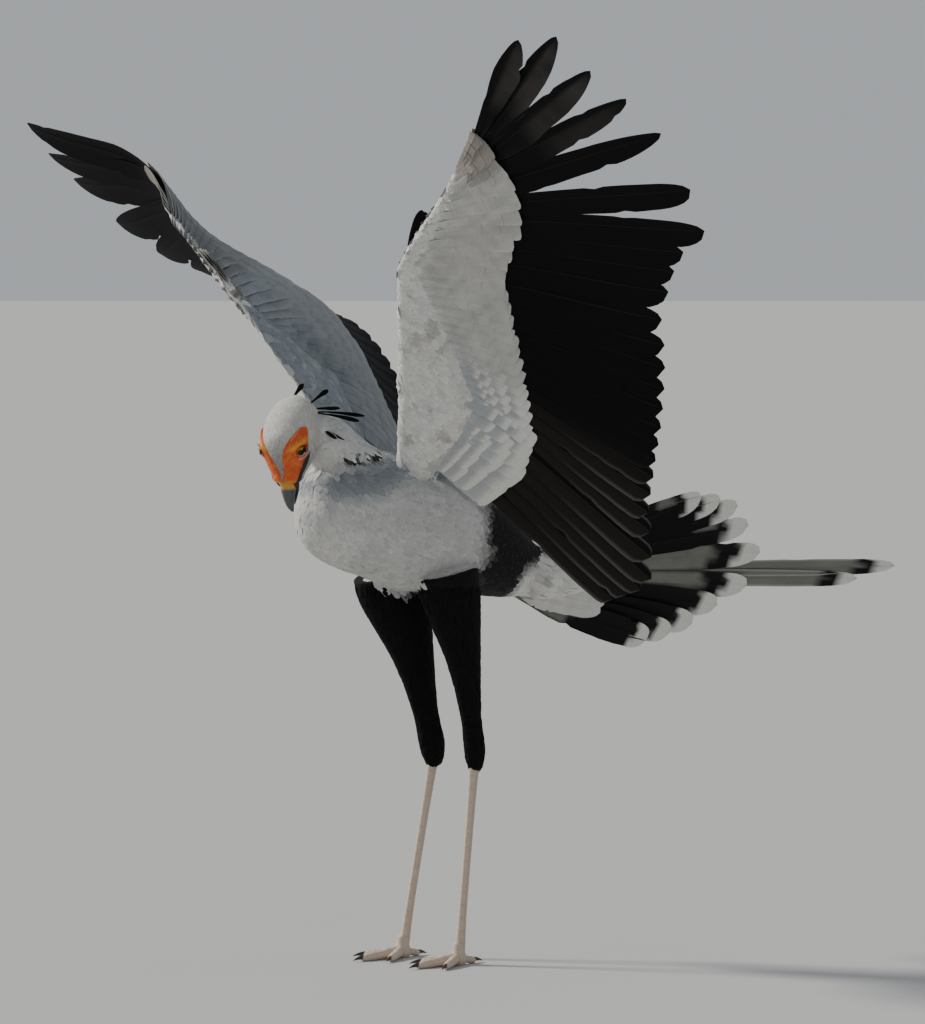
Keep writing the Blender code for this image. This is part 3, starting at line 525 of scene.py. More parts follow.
def aerofoil(front, bone, back, up, thick, shrink):
    """Closed wing sections of 16 points from a rounded front past the bone to the thin back."""
    ahead = unit(back - front)
    up = unit(up - ahead * dot(up, ahead)[..., None])
    chord = np.linalg.norm(bone - front, axis=-1)[..., None]
    nose = front - ahead * (0.003 - shrink)
    places = [nose, nose + ahead * 0.15 * chord, nose + ahead * 0.45 * chord, bone,
              bone + (back - bone) * 0.35, bone + (back - bone) * 0.7, back]
    shape = (0.0, 0.62, 0.88, 1.0, 0.84, 0.55, 0.26)
    half = np.maximum(thick / 2 - shrink, 0.0015)
    upper = [p + up * np.atleast_1d(s * half)[:, None] for p, s in zip(places, shape)]
    lower = [p - up * np.atleast_1d(s * half)[:, None] for p, s in zip(places, shape)]
    return np.stack(upper + lower[:0:-1], 1)


def arm_sections(wing, rings, shrink):
    last = FLIGHT - 1
    k = np.linspace(0, 8, rings)
    inward = np.clip(1.0 - k / 2.0, 0, 1)[:, None]
    along = np.clip(k - 2, 0, None) / 6
    number = last - along * (last - PRIMARIES + 0.30)
    base = wing.shoulder - wing.root(last)
    way = unit(wing.ahead(number)[0])
    bone = wing.root(number) + base * inward
    sail = wing.shoulder + (wing.wrist - wing.shoulder) * (0.16 + 0.84 * along)[:, None]
    front = sail * (1 - inward) + wing.shoulder * inward - way * (0.012 - shrink)
    back = wing(number, np.full(rings, 0.12)) + base * inward
    return aerofoil(front, bone, back, wing.up(number), 0.036 - 0.019 * along, shrink), way, number


def hand_sections(wing, rings, shrink):
    finger = unit(wing.tip - wing.wrist)
    flat = wing.up(6)
    chord = unit(np.cross(finger, flat)) * 0.022
    if dot(chord, wing.ahead(6)[0]) < 0:
        chord = -chord
    at = np.linspace(0, 1, rings)
    number = PRIMARIES - 0.2 - (PRIMARIES + 0.15) * at
    bone = wing.root(number)
    across = (wing(number, np.full(rings, 0.13)) - bone) * (1 - at)[:, None] + chord * at[:, None]
    up = unit(wing.up(number) * (1 - at)[:, None] + flat * at[:, None])
    front = bone - unit(across) * (0.013 - 0.007 * at)[:, None]
    return aerofoil(front, bone, bone + across, up, 0.017 - 0.007 * at, shrink), unit(across), number


# The skin: one closed surface through all parts of the body, with the way that its feathers lie

REGIONS = ("head", "neck", "torso", "shin_left", "shin_right", "arm_left", "arm_right",
           "hand_left", "hand_right", "tail")
KINDS = np.array([region.split("_")[0] for region in REGIONS])
FLESH_NODES = ("torso", "neck", "head", "tail", "wing_left_arm", "wing_left_hand", "wing_right_arm",
               "wing_right_hand", "leg_left_shin", "leg_right_shin")


def part_of(region, *kinds):
    """Whether each region number stands for one of these kinds of part."""
    return np.isin(region, [k for k, kind in enumerate(KINDS) if kind in kinds])


def body_grids(shrink):
    """Rings of each part, and whether its feathers run along them, against them, or as the wing's own."""
    grids = {}
    heights = np.linspace(HEAD[0][0], HEAD[-1][0], 34)
    turns = 2 * np.pi * np.arange(40) / 40
    level, turns = np.meshgrid(heights, turns, indexing="ij")
    grids["head"] = (head_surface(level, turns, shrink * 0.55), 1)
    grids["neck"] = (tube(NECK, 32, 20, shrink * 0.8), -1)
    grids["torso"] = (tube(TORSO, 44, 48, shrink * 1.2), 1)
    for name, leg in LEGS.items():
        grids["shin_" + name] = (tube(trouser_rows(leg), 24, 34, shrink), 1)
    for name, wing in WING.items():
        grids["arm_" + name] = (arm_sections(wing, 44, shrink * 0.45)[0], 0)
        grids["hand_" + name] = (hand_sections(wing, 26, shrink * 0.3)[0], 0)
    grids["tail"] = (tube(TAIL_CORE, 24, 24, shrink), 1)
    return grids


def make_skin():
    """Join the parts in one skin, and give each of its points a region, a flow and a place in the map."""
    points, faces = [], []
    guides = {key: [] for key in ("place", "flow", "region", "map", "above")}
    for index, region in enumerate(REGIONS):
        grid, sense = GRIDS[region]
        rings, count = grid.shape[:2]
        offset = sum(len(p) for p in points)
        points.append(grid.reshape(-1, 3))
        quads = ring_quads(rings, count) + offset
        faces += quads.tolist()
        faces.append([offset + j for j in range(count)][::-1])
        faces.append([offset + (rings - 1) * count + j for j in range(count)])
        if sense:
            flow = unit(np.gradient(grid, axis=0)) * sense
            above = np.zeros((rings, count, 3))
        else:
            wing = WING[region.split("_")[1]]
            sections = arm_sections if region[0] == "a" else hand_sections
            way, number = sections(wing, rings, 0)[1:]
            flow = np.repeat(way[:, None], count, axis=1)
            above = np.repeat(wing.up(number)[:, None], count, axis=1)
        cell = np.array((index % 4, index // 4)) * 0.25 + 0.01
        across = np.repeat(np.arange(count)[None] / count, rings, axis=0)
        down = np.repeat(np.arange(rings)[:, None] / (rings - 1), count, axis=1)
        guides["place"].append(grid.reshape(-1, 3))
        guides["flow"].append(flow.reshape(-1, 3))
        guides["region"].append(np.full(rings * count, index))
        guides["map"].append((cell + 0.225 * np.stack([across, down], -1)).reshape(-1, 2))
        guides["above"].append(above.reshape(-1, 3))
    guides = {key: np.concatenate(value) for key, value in guides.items()}
    mesh = bpy.data.meshes.new("skin_parts")
    mesh.from_pydata(np.concatenate(points).tolist(), [], faces)
    work = bpy.data.objects.new("skin_parts", mesh)
    bpy.context.scene.collection.objects.link(work)
    wrap = work.modifiers.new("wrap", "REMESH")
    wrap.mode = "VOXEL"
    wrap.voxel_size = SKIN_VOXEL
    relax = work.modifiers.new("relax", "SMOOTH")
    relax.iterations = 4
    graph = bpy.context.evaluated_depsgraph_get()
    skin = bpy.data.meshes.new_from_object(work.evaluated_get(graph))
    bpy.data.objects.remove(work)
    count = len(skin.vertices)
    place = np.empty(count * 3, np.float32)
    normal = np.empty(count * 3, np.float32)
    skin.vertices.foreach_get("co", place)
    skin.vertices.foreach_get("normal", normal)
    place = place.reshape(-1, 3).astype(float)
    normal = normal.reshape(-1, 3).astype(float)
    tree = tree_of(guides["place"])
    nearest = np.zeros(count, int)
    flow = np.zeros((count, 3))
    for k in range(count):
        found = tree.find_n(place[k], 7)
        nearest[k] = found[0][1]
        for _, index, distance in found:
            flow[k] += guides["flow"][index] / (distance + 0.003)
    # on the breast the feathers run down from the throat before they turn back along the body
    region = guides["region"][nearest]
    front = fade(-0.135, -0.235, place[:, 1]) * part_of(region, "torso")
    flow = unit(flow) + np.array((0.0, 0.3, -2.6)) * front[:, None]
    flow += np.array((0.0, 0.0, -1.6)) * part_of(region, "shin")[:, None]
    flow -= normal * dot(flow, normal)[:, None]
    return skin, {"place": place, "normal": normal, "flow": unit(flow), "region": region,
                  "map": guides["map"][nearest], "upper": dot(normal, guides["above"][nearest])}


# Markings: the same colours for skin and coat, from the place on the body

FACE_EDGE = (
    # height, turn in degrees of the edge toward the crown and of the edge toward the throat
    (0.750, 2.0, 58.0), (0.758, 4.0, 62.0), (0.770, 7.0, 67.0), (0.785, 8.0, 69.0), (0.800, 11.0, 70.0),
    (0.812, 21.0, 69.0), (0.824, 32.0, 67.0), (0.836, 45.0, 63.0), (0.843, 53.0, 58.0),
)


OUTSIDE = -30.0


def face_edge(heights, side):
    """Both edges in degrees of turn. On the far side the forehead's feathers come further down."""
    low, high = np.moveaxis(smooth(FACE_EDGE, heights), -1, 0)
    far = np.where(np.asarray(side) < 0, 1.0, 0.0)
    return low + far * 15.0 * fade(0.765, 0.800, heights), high


def face_share(places):
    """How far inside the bare face a place on the head is, above 0 inside it, in degrees of turn."""
    offset = places - np.array((HEAD_X, HEAD_Y, 0.0))
    shift, wide, crown, throat = np.moveaxis(smooth(HEAD, places[..., 2]), -1, 0)
    forward = dot(offset, CROWN) - shift
    depth = np.where(forward > 0, crown, throat)
    turn = np.degrees(np.arctan2(np.abs(dot(offset, NEAR)) / wide, forward / depth))
    low, high = face_edge(places[..., 2], dot(offset, NEAR))
    inside = np.minimum(turn - low, high - turn)
    level = (places[..., 2] > FACE_EDGE[0][0]) & (places[..., 2] < FACE_EDGE[-1][0])
    return np.where(level, inside, OUTSIDE)


def colour_of(place, region, normal, upper):
    """The coat's colour at each place."""
    x, y, z = np.moveaxis(place, -1, 0)
    soft = blotch(place, 0.020)
    fine = blotch(place, 0.008, 2.0)
    result = np.zeros(place.shape)
    # head: pale, greyer on the forehead and round the nape
    forehead = fade(0.835, 0.775, z) * fade(-0.2, 0.6, dot(normal, CROWN))
    head = mix(HEAD_GREY * (0.92 + 0.16 * fine[..., None]), FOREHEAD, forehead * 0.62)
    head = mix(head, WHITE * 0.9, fade(0.2, 0.7, -dot(normal, CROWN)) * fade(0.80, 0.84, z) * 0.5)
    result = np.where(part_of(region, "head")[..., None], head, result)
    neck = mix(PALE * 0.96, BLUE_GREY * 1.3, 0.25 * soft)
    # neck and shoulders, with a short row of dark marks with pale tips on the near side of the neck's root
    along = dot(place, RIGHT)
    band = bell(z - 0.797, 0.0070) * fade(-0.150, -0.140, along) * fade(-0.080, -0.090, along)
    spotted = blotch(place, 0.0046, 7.0)
    marks = band * fade(0.0, 0.02, x) * part_of(region, "head", "neck", "torso")
    # torso: blue-grey above, pale below and in front, black from the flanks back, white under the tail
    above = fade(0.25, 0.90, normal[..., 2]) * fade(0.64, 0.70, z)
    torso = mix(PALE * (0.84 + 0.14 * soft[..., None]), BLUE_GREY * 0.85, above)
    # painted shadow of the near wing: a darker blue-grey patch on the near side of the shoulder, below the
    # neck's row of marks
    wing_shadow = (fade(-0.175, -0.145, along) * fade(-0.050, -0.085, along) * fade(0.725, 0.760, z)
             * fade(0.0, 0.02, x))
    torso = mix(torso, BLUE_GREY * 0.75, 0.75 * wing_shadow)
    torso = mix(torso, neck, fade(0.784, 0.806, z) * fade(-0.090, -0.130, y))
    torso = mix(torso, WHITE * 0.85, fade(-0.17, -0.24, y) * fade(0.3, -0.3, normal[..., 2]) * 0.6)
    black = fade(-0.005, 0.045, y + 0.020 * (soft - 0.5) - 0.06 * above)
    black = np.maximum(black, fade(0.590, 0.572, z + 0.010 * (soft - 0.5)) * fade(-0.09, -0.05, y))
    torso = mix(torso, BLACK * 1.3, black)
    below = dot(normal, -Tail.above)
    vent = fade(0.105, 0.130, y) * fade(-0.3, 0.2, below) * fade(0.030, -0.005, z - 0.600 - 0.25 * (y - 0.12))
    torso = mix(torso, WHITE * 0.92, vent)
    result = np.where(part_of(region, "neck", "torso")[..., None], torso, result)
    result = mix(result, BLACK * 4, np.clip(marks * 1.4 * fade(0.58, 0.46, spotted), 0, 1))
    result = mix(result, WHITE, np.clip(marks * 1.4 * fade(0.66, 0.74, spotted), 0, 1))
    shin = BLACK * (0.9 + 0.5 * fine[..., None])
    result = np.where(part_of(region, "shin")[..., None], shin, result)
    tail = mix(WHITE * 0.95, PALE * 0.8, fade(0.55, 0.9, soft))
    tail = mix(tail, BLACK * 1.5, fade(0.160, 0.140, y) * fade(0.2, -0.3, below))
    result = np.where(part_of(region, "tail")[..., None], tail, result)
    # wings: blue-grey above with a pale front edge, whitish below
    top = mix(BLUE_GREY * (0.82 + 0.40 * fine[..., None]), PALE * 0.95, fade(0.62, 0.88, soft) * 0.45)
    top = np.where(part_of(region, "hand")[..., None], mix(PALE, SMOKE, fade(0.45, 0.62, soft)), top)
    under = mix(WHITE * (0.84 + 0.16 * fine[..., None]), SMOKE * 1.7, fade(0.60, 0.86, soft) * 0.50)
    under = mix(under, torso, fade(0.815, 0.765, z) * fade(0.10, 0.06, np.abs(x)))
    dressed = mix(under, top, fade(-0.05, 0.35, upper))
    return np.where(part_of(region, "arm", "hand")[..., None], dressed, result)


# Coat: small overlapping feathers over the skin

# length, width, spacing, how far the tip stands off, spread of direction
COAT = {
    "head": (0.0080, 0.0036, 0.0022, 0.0005, 0.07), "neck": (0.021, 0.0078, 0.0038, 0.0011, 0.07),
    "torso": (0.028, 0.0104, 0.0047, 0.0013, 0.06), "shin": (0.027, 0.0070, 0.0044, 0.0018, 0.07),
    "arm": (0.024, 0.0104, 0.0052, 0.0010, 0.06), "hand": (0.018, 0.0080, 0.0044, 0.0009, 0.06),
    "tail": (0.048, 0.0120, 0.0070, 0.0040, 0.09),
}
STRAY = 0.0045
TUFT_PATCH = 0.003
TUFT_AT = np.array((0.0, 0.28, 0.60, 0.86, 1.0))
TUFT_WIDE = np.array((0.34, 0.84, 1.0, 0.78, 0.22))
TUFT_RISE = np.array((-0.30, 0.45, 0.95, 1.05, 0.80))


def spread_roots(skin, body):
    """Roots for the coat, evenly spread with each region's own spacing."""
    skin.calc_loop_triangles()
    corners = np.empty(len(skin.loop_triangles) * 3, np.int32)
    skin.loop_triangles.foreach_get("vertices", corners)
    corners = corners.reshape(-1, 3)
    a, b, c = [body["place"][corners[:, k]] for k in range(3)]
    area = np.linalg.norm(np.cross(b - a, c - a), axis=1) / 2
    gaps = np.array([COAT[kind][2] for kind in KINDS])
    region = body["region"][corners[:, 0]]
    wanted = area / gaps[region] ** 2 * 3.0
    picks = random.choice(len(area), size=int(wanted.sum()), p=wanted / wanted.sum())
    u, v = random.random(len(picks)), random.random(len(picks))
    over = u + v > 1
    u[over], v[over] = 1 - u[over], 1 - v[over]
    spots = a[picks] + (b - a)[picks] * u[:, None] + (c - a)[picks] * v[:, None]
    tree = tree_of(spots)
    free = np.ones(len(spots), bool)
    kept = []
    gap = gaps[region[picks]] * 0.88
    for k in range(len(spots)):
        if free[k]:
            kept.append(k)
            for _, other, _ in tree.find_range(spots[k], gap[k]):
                free[other] = False
    kept = np.array(kept)
    return spots[kept], corners[picks[kept], 0]


def walk(tree, body, start, heading, steps):
    """Follow the skin from each start along its heading. Gives the places and normals of the steps."""
    count = len(start)
    places = np.zeros((count, len(steps) + 1, 3))
    normals = np.zeros((count, len(steps) + 1, 3))
    places[:, 0] = start
    here, way = start.copy(), heading.copy()
    for step in range(len(steps) + 1):
        if step:
            target = here + way * steps[step - 1][:, None]
        else:
            target = here
        near = np.array([tree.find(spot)[1] for spot in target])
        off = target - body["place"][near]
        normal = body["normal"][near]
        landed = target - normal * dot(off, normal)[:, None]
        if step:
            moved = unit(landed - here)
            bends = (dot(moved, way) > 0.80) & (np.abs(dot(off, normal)) < 0.006)
            landed = np.where(bends[:, None], landed, target)
            normal = np.where(bends[:, None], normal, normals[:, step - 1])
            way = np.where(bends[:, None], moved, way)
        places[:, step] = landed
        normals[:, step] = normal
        here = landed
    return places, normals


def tufts(group, places, normals, length, width, rise, tint, tip_tint, maps):
    """Feathers as thin closed leaves with a raised middle line, each a small patch of the map at its root."""
    count, stations = len(places), len(TUFT_AT)
    along = unit(np.gradient(places, axis=1))
    side = unit(np.cross(normals, along))
    wide = width[:, None] / 2 * TUFT_WIDE * (1 + random.uniform(-0.12, 0.12, (count, stations)))
    lift = rise[:, None] * TUFT_RISE * (1 + random.uniform(-0.25, 0.25, (count, 1)))
    middle = places + normals * lift[..., None]
    roll = random.uniform(-0.10, 0.10, (count, 1, 1))
    across = side + normals * roll
    sag = normals * (0.07 * wide)[..., None]
    left = middle - across * wide[..., None] - sag
    right = middle + across * wide[..., None] - sag
    crest = middle + normals * (0.05 * wide)[..., None]
    keel = middle - normals * (0.11 * wide + 0.00015)[..., None]
    points = np.stack([left, crest, right, keel], 2)
    quads = ring_quads(stations, 4, cap=True)
    faces = repeated(quads, count, stations * 4)
    blend = fade(0.55, 1.0, TUFT_AT)[None, :, None, None]
    colours = tint[:, None, None] * (1 - blend) + tip_tint[:, None, None] * blend
    # painted light: the raised middle line a little lighter as if lit from above, the keel underneath darker as
    # painted shade
    colours = colours * np.array((1.0, 1.02, 1.0, 0.92))[:, None] * np.ones(points.shape)
    distance = (length[:, None] * TUFT_AT)[..., None]
    sideways = np.stack([-wide, 0 * wide, wide, 0 * wide], -1)
    barbs = np.stack([sideways, distance - np.abs(sideways) * 0.7, 0 * sideways], -1)
    patch = np.stack([sideways / width[:, None, None], TUFT_AT[None, :, None] - 0.5 + 0 * sideways], -1)
    bake = maps[:, None, None] + patch * TUFT_PATCH
    per = len(quads) * 2
    parts = max(1, math.ceil(count * per / PIECE_LIMIT))
    order = np.argsort(places[:, 0, 1], kind="stable")
    made = []
    for k, chosen in enumerate(np.array_split(order, parts)):
        name = "coat_" + group + ("_%d" % (k + 1) if parts > 1 else "")
        dark = group.startswith("shin")
        slot, look = ("black_feather", "dark_coat") if dark else ("grey_plumage", "coat")
        made.append(piece(name, points[chosen], faces[:len(chosen) * len(quads)], look, slot, colours[chosen],
                          barbs[chosen].reshape(-1, 3), bake[chosen], sharp=(4, (0, 2))))
    return made


def make_coat(skin, body):
    spots, corner = spread_roots(skin, body)
    tree = tree_of(body["place"])
    region = body["region"][corner]
    normal = body["normal"][corner]
    flow = body["flow"][corner]
    sizes = np.array([COAT[kind] for kind in KINDS[region]])
    length, width, _, rise, loose = sizes.T.copy()
    # the face: bare inside its edge, shorter feathers close to it and to the bill
    on_head = part_of(region, "head")
    inside = np.where(on_head, face_share(spots), OUTSIDE)
    keep = inside < 1.0
    keep &= ~(on_head & (spots[:, 2] < 0.757))
    near_face = fade(0.770, 0.850, spots[:, 2])
    small = np.where(on_head, 0.55 + 0.75 * near_face, 1.0)
    # shorter feathers where the trousers come out of the body
    hip = part_of(region, "shin")
    small = np.where(hip, 1.0 - 0.45 * fade(0.545, 0.590, spots[:, 2]), small)
    keep &= ~(hip & (spots[:, 2] > 0.592))
    length *= small * random.uniform(0.86, 1.14, len(spots))
    width *= np.where(on_head, 0.7 + 0.45 * near_face, 1.0) * random.uniform(0.85, 1.15, len(spots))
    side = np.cross(normal, flow)
    turn = random.normal(0.0, 1.0, len(spots)) * loose
    heading = unit(flow * np.cos(turn)[:, None] + side * np.sin(turn)[:, None])
    spots, region, normal, heading = spots[keep], region[keep], normal[keep], heading[keep]
    length, width, rise, corner = length[keep], width[keep], rise[keep], corner[keep]
    steps = [length * gap for gap in np.diff(TUFT_AT)]
    places, normals = walk(tree, body, spots, heading, steps)
    astray = np.array([tree.find(place)[2] for place in places[:, -1]])
    held = astray < STRAY
    spots, region, normal, corner = spots[held], region[held], normal[held], corner[held]
    places, normals, length, width, rise = places[held], normals[held], length[held], width[held], rise[held]
    tint = colour_of(spots, region, normal, body["upper"][corner])
    shade = random.normal(1.0, 0.06, (len(spots), 1))
    tint = tint * shade
    tip = np.minimum(tint * 1.10, 0.80)
    groups = np.array(REGIONS)[region]
    for group in sorted(set(groups)):
        chosen = groups == group
        parts = [part[chosen] for part in (places, normals, length, width, rise, tint, tip)]
        tufts(group, *parts, body["map"][corner[chosen]])


# Large feathers: blades with a shaft, cambered vanes and splits along their edges

CROSS = np.array((-1.0, -0.70, -0.34, -0.05, 0.0, 0.05, 0.34, 0.70, 1.0))
ON_SHAFT = np.where(np.abs(CROSS) < 0.01, 1.0, 0.0)
BLADE_THICK = 0.00022
# sine of the most that a feather may roll over its neighbour
STEEPEST = 0.30
FLIGHT_OVERLAP = 1.38
STATIONS = 1 - (1 - np.linspace(0, 1, 26)) ** 1.25
FLIGHT_FORM = ((0.0, 0.14), (0.15, 0.42), (0.30, 0.74), (0.55, 0.92), (0.74, 1.0), (0.88, 0.93), (1.0, 0.84))
FINGER_FORM = ((0.0, 0.14), (0.18, 0.60), (0.36, 1.06), (0.60, 0.98), (0.76, 0.95), (0.90, 0.74), (1.0, 0.56))
COVERT_FORM = ((0.0, 0.30), (0.25, 0.70), (0.50, 0.95), (0.80, 1.0), (1.0, 0.96))


def outline(form, tip_from):
    """Share of the full width along a feather, with a rounded tip."""
    base = smooth(form, STATIONS)[:, 0]
    t = np.clip((STATIONS - tip_from) / (1 - tip_from), 0, 1)
    return base * np.sqrt(np.maximum(1 - t ** 2.2, 0.0)) + 0.02


def frames(surface, number, at):
    """Places along one feather with its direction to the leading side, upward and the room it has."""
    number = np.full(at.shape, float(number))
    spread = np.maximum(at, ROOT_SPREAD)
    along = unit(surface(number, at + 0.01) - surface(number, at - 0.01))
    across = surface(number - 0.5, spread) - surface(number + 0.5, spread)
    across = across - along * dot(across, along)[:, None]
    room = np.linalg.norm(across, axis=1)
    across = unit(across)
    up = unit(np.cross(across, along))
    up = np.where((dot(up, surface.up(number)) < 0)[:, None], -up, up)
    return surface(number, at), across, up, room


def vane(line, lead, high, off, sag, thick):
    """Rings of points round a thin blade, over its top and back below, with their measures across it."""
    flat = line[:, None] + lead * off[..., None]
    top = flat + high * (sag + thick)[..., None]
    low = flat + high * (sag - thick)[..., None]
    return np.concatenate([top, low[:, ::-1]], 1), np.concatenate([off, off[:, ::-1]], 1)


def blade_row(surface, numbers, form, tip_from, width, start, reach, lift, overlap, tilt=SHINGLE,
              lead_share=LEAD_SHARE, stack=None, camber=0.05, splits=2, droop=0.0):
    """Blades of one row as arrays of ring points, widths and distances."""
    shape = outline(form, tip_from)
    rings, widths, distances = [], [], []
    for number in numbers:
        at = start + STATIONS * (reach(number) - start)
        line, across, up, room = frames(surface, number, at)
        turn = np.arcsin(np.minimum(tilt / room, STEEPEST))[:, None]
        rise = lift * (0.10 + 0.90 * np.minimum(STATIONS / 0.35, 1.0)) + random.uniform(-0.0003, 0.0003)
        if stack:
            rise = rise + stack(number)
        line = line + up * (rise - droop * STATIONS**2)[:, None]
        lead = across * np.cos(turn) + up * np.sin(turn)
        high = up * np.cos(turn) - across * np.sin(turn)
        full = np.minimum(shape * width(number), overlap * room * np.maximum(shape, 0.2) ** 0.15)
        fore, aft = full * lead_share, full * (1 - lead_share)
        for edge in (fore, aft):
            edge *= 1 + random.uniform(-0.012, 0.012, len(edge))
            for _ in range(random.integers(0, splits + 1)):
                k = random.integers(6, len(edge) - 3)
                edge[k] *= random.uniform(0.80, 0.95)
        off = np.where(CROSS >= 0, CROSS * fore[:, None], CROSS * aft[:, None])
        sag = -camber * CROSS**2 * full[:, None]
        shaft = (0.0014 - 0.0010 * STATIONS)[:, None] * ON_SHAFT
        points, across_blade = vane(line, lead[:, None], high[:, None], off, sag, shaft + BLADE_THICK)
        rings.append(points)
        widths.append(across_blade)
        steps = np.linalg.norm(np.diff(line, axis=0), axis=1)
        distances.append(np.concatenate([[0], np.cumsum(steps)]))
    return np.array(rings), np.array(widths), np.array(distances)


def blades(name, rows, paint, slot, look="flight", replaces=()):
    """Join rows of blades in one piece. paint gives the colour from row tag, feather, share and cross place."""
    points, colours, barbs, bakes = [], [], [], []
    total = sum(len(row[1][0]) for row in rows)
    columns = math.ceil(math.sqrt(total * 5))
    lines = math.ceil(total / columns)
    cross = np.concatenate([CROSS, CROSS[::-1]])
    index = 0
    for tag, (rings, widths, distances), numbers in rows:
        for k in range(len(rings)):
            share = np.repeat(STATIONS[:, None], len(cross), 1)
            across = np.repeat(cross[None], len(STATIONS), 0)
            points.append(rings[k])
            colours.append(paint(tag, numbers[k], share, across, rings[k]))
            slant = distances[k][:, None] - np.abs(widths[k]) * 1.1
            barbs.append(np.stack([slant, widths[k], 0 * widths[k]], -1))
            cell = np.array((index % columns / columns, index // columns / lines))
            spread = np.stack([(0.5 + 0.42 * across) / columns, (0.04 + 0.92 * share) / lines], -1)
            bakes.append(cell + spread)
            index += 1
    count = len(points)
    faces = repeated(ring_quads(len(STATIONS), len(cross), cap=True), count, len(STATIONS) * len(cross))
    last = len(CROSS) - 1
    return piece(name, np.array(points), faces, look, slot, np.array(colours), np.array(barbs).reshape(-1, 3),
                 np.array(bakes), replaces, (len(cross), (0, last, last + 1, 2 * last + 1)))


def flight_width(number):
    blend = min(max((number - FINGERS + 1) / 2.0, 0.0), 1.0)
    return 0.043 + 0.014 * blend


def flight_paint(tag, number, share, across, points):
    """Flight feathers: black, browner toward the tips of the outer fingers and on the innermost ones."""
    worn = blotch(points, 0.030, number * 1.7)
    colour = BLACK * np.ones(share.shape + (3,))
    finger = (fade(3.6, 2.4, number) * fade(0.45, 0.62, share) * fade(0.25, -0.15, across)
              * fade(1.02, 0.88, share))
    if tag == "finger":
        colour = mix(colour, SMOKE * 0.55, finger * (0.25 + 0.45 * worn))
    inner = fade(16.5, 19.0, number)
    colour = mix(colour, BROWN * 0.26, inner * fade(0.05, -0.1, across) * 0.8)
    colour = mix(colour, PALE * 0.30, inner * fade(0.92, 0.99, np.abs(across)) * fade(0.5, 0.9, share) * 0.6)
    return mix(colour, SHAFT * (0.8 + 0.8 * inner), (np.abs(across) < 0.01) * 0.8)


def upper_paint(tag, number, share, across, points):
    """Upper coverts: blue-grey with paler edges, smoky brown on the hand."""
    edge = fade(0.55, 1.0, np.maximum(np.abs(across), share))
    spots = blotch(points, 0.018, number)
    base = mix(BLUE_GREY * 0.95, SMOKE * 0.6, fade(9.5, 7.5, number) * (0.5 + 0.5 * (tag == "greater")))
    colour = base * (0.80 + 0.42 * spots)[..., None]
    return mix(colour, PALE * 0.80, edge * 0.35)


def pale_paint(tag, number, share, across, points):
    return mix(PALE * 0.85, SMOKE * 1.3, fade(0.35, 0.75, blotch(points, 0.016)))


def under_paint(tag, number, share, across, points):
    """Under coverts: whitish with soft grey, the innermost ones grey with white tips."""
    spots = blotch(points, 0.022, number)
    colour = mix(WHITE * 0.96, PALE * 0.86, spots)
    colour = mix(colour, SMOKE * 1.6, 0.26 * fade(0.25, 0.6, share) * fade(0.98, 0.75, np.abs(across)))
    inner = fade(16.0, 19.0, number)
    colour = mix(colour, BLUE_GREY * 1.5, inner * fade(0.93, 0.70, share) * 0.55)
    colour = mix(colour, WHITE, inner * fade(0.80, 0.93, share))
    outer = fade(3.2, 1.5, number)
    return mix(colour, BROWN * 2.2, outer * fade(0.35, 0.55, share) * 0.75)


# how much wider the fingers of each wing are drawn, where they lie closer together
CLOSED = {"left": 1.0, "right": 1.55}


def covert_width(number):
    return 0.036 + 0.014 * min(max((number - 2) / 6.0, 0.0), 1.0)


def covert_reach(number):
    return 0.29 + 0.09 * min(max((number - 2) / 8.0, 0.0), 1.0)


# room between two coverts, in feather numbers
COVERT_STEP = 0.80
ALULA_COUNT = 4
ALULA_LONG, ALULA_WIDE = 0.088, 0.021
# A row of coverts: name, where it starts, part of the greater coverts' reach, width, how far it stands off
COVERT_ROWS = (
    ("greater", 0.040, 1.00, 1.00, 0.0056), ("median", 0.030, 0.76, 0.92, 0.0068),
    ("lesser", 0.015, 0.56, 0.82, 0.0078), ("least", 0.000, 0.40, 0.74, 0.0086),
    ("edge", -0.035, 0.26, 0.60, 0.0084),
)


def make_wing(name):
    """Flight feathers, rows of coverts above and below, and the alula at the wrist."""
    wing = WING[name]
    closed = CLOSED[name]
    worn = "finger" if wing.side > 0 else "plain"
    rows = []
    for tag, numbers, form, tip_from, wide, splits in (
            (worn, range(FINGERS), FINGER_FORM, 0.80, closed, 3),
            ("plain", range(FINGERS, FLIGHT), FLIGHT_FORM, 0.88, 1.0, 2)):
        row = blade_row(wing, numbers, form, tip_from, lambda n: flight_width(n) * wide, 0.0, lambda n: 1.0,
                        0.0, FLIGHT_OVERLAP * wide, splits=splits)
        rows.append((tag, row, numbers))
    blades("flight_feathers_" + name, rows, flight_paint, "black_feather")
    for sign, title, paint, trim in ((1, "upper", upper_paint, 1.8), (-1, "under", under_paint, 0.6)):
        rows = []
        for tag, start, part, wide, lift in COVERT_ROWS:
            if tag == "edge" and sign < 0:
                continue
            numbers = list(np.arange(-0.2, FLIGHT - trim, COVERT_STEP) + random.uniform(-0.05, 0.05))

            def reach(n):
                longer = 1.0 if sign < 0 else 1.0 + 0.45 * fade(7.0, 12.0, n)
                return covert_reach(n) * part * longer * random.uniform(0.975, 1.025)

            row = blade_row(wing, numbers, COVERT_FORM, 0.93, lambda n: covert_width(n) * wide, start, reach,
                            sign * lift, 2.6, 0.0012, splits=1, camber=0.035 * sign, droop=sign * 0.0008)
            rows.append((tag, row, numbers))
        blades("coverts_" + title + "_" + name, rows, paint, "grey_plumage", "coat")
    make_alula(wing)


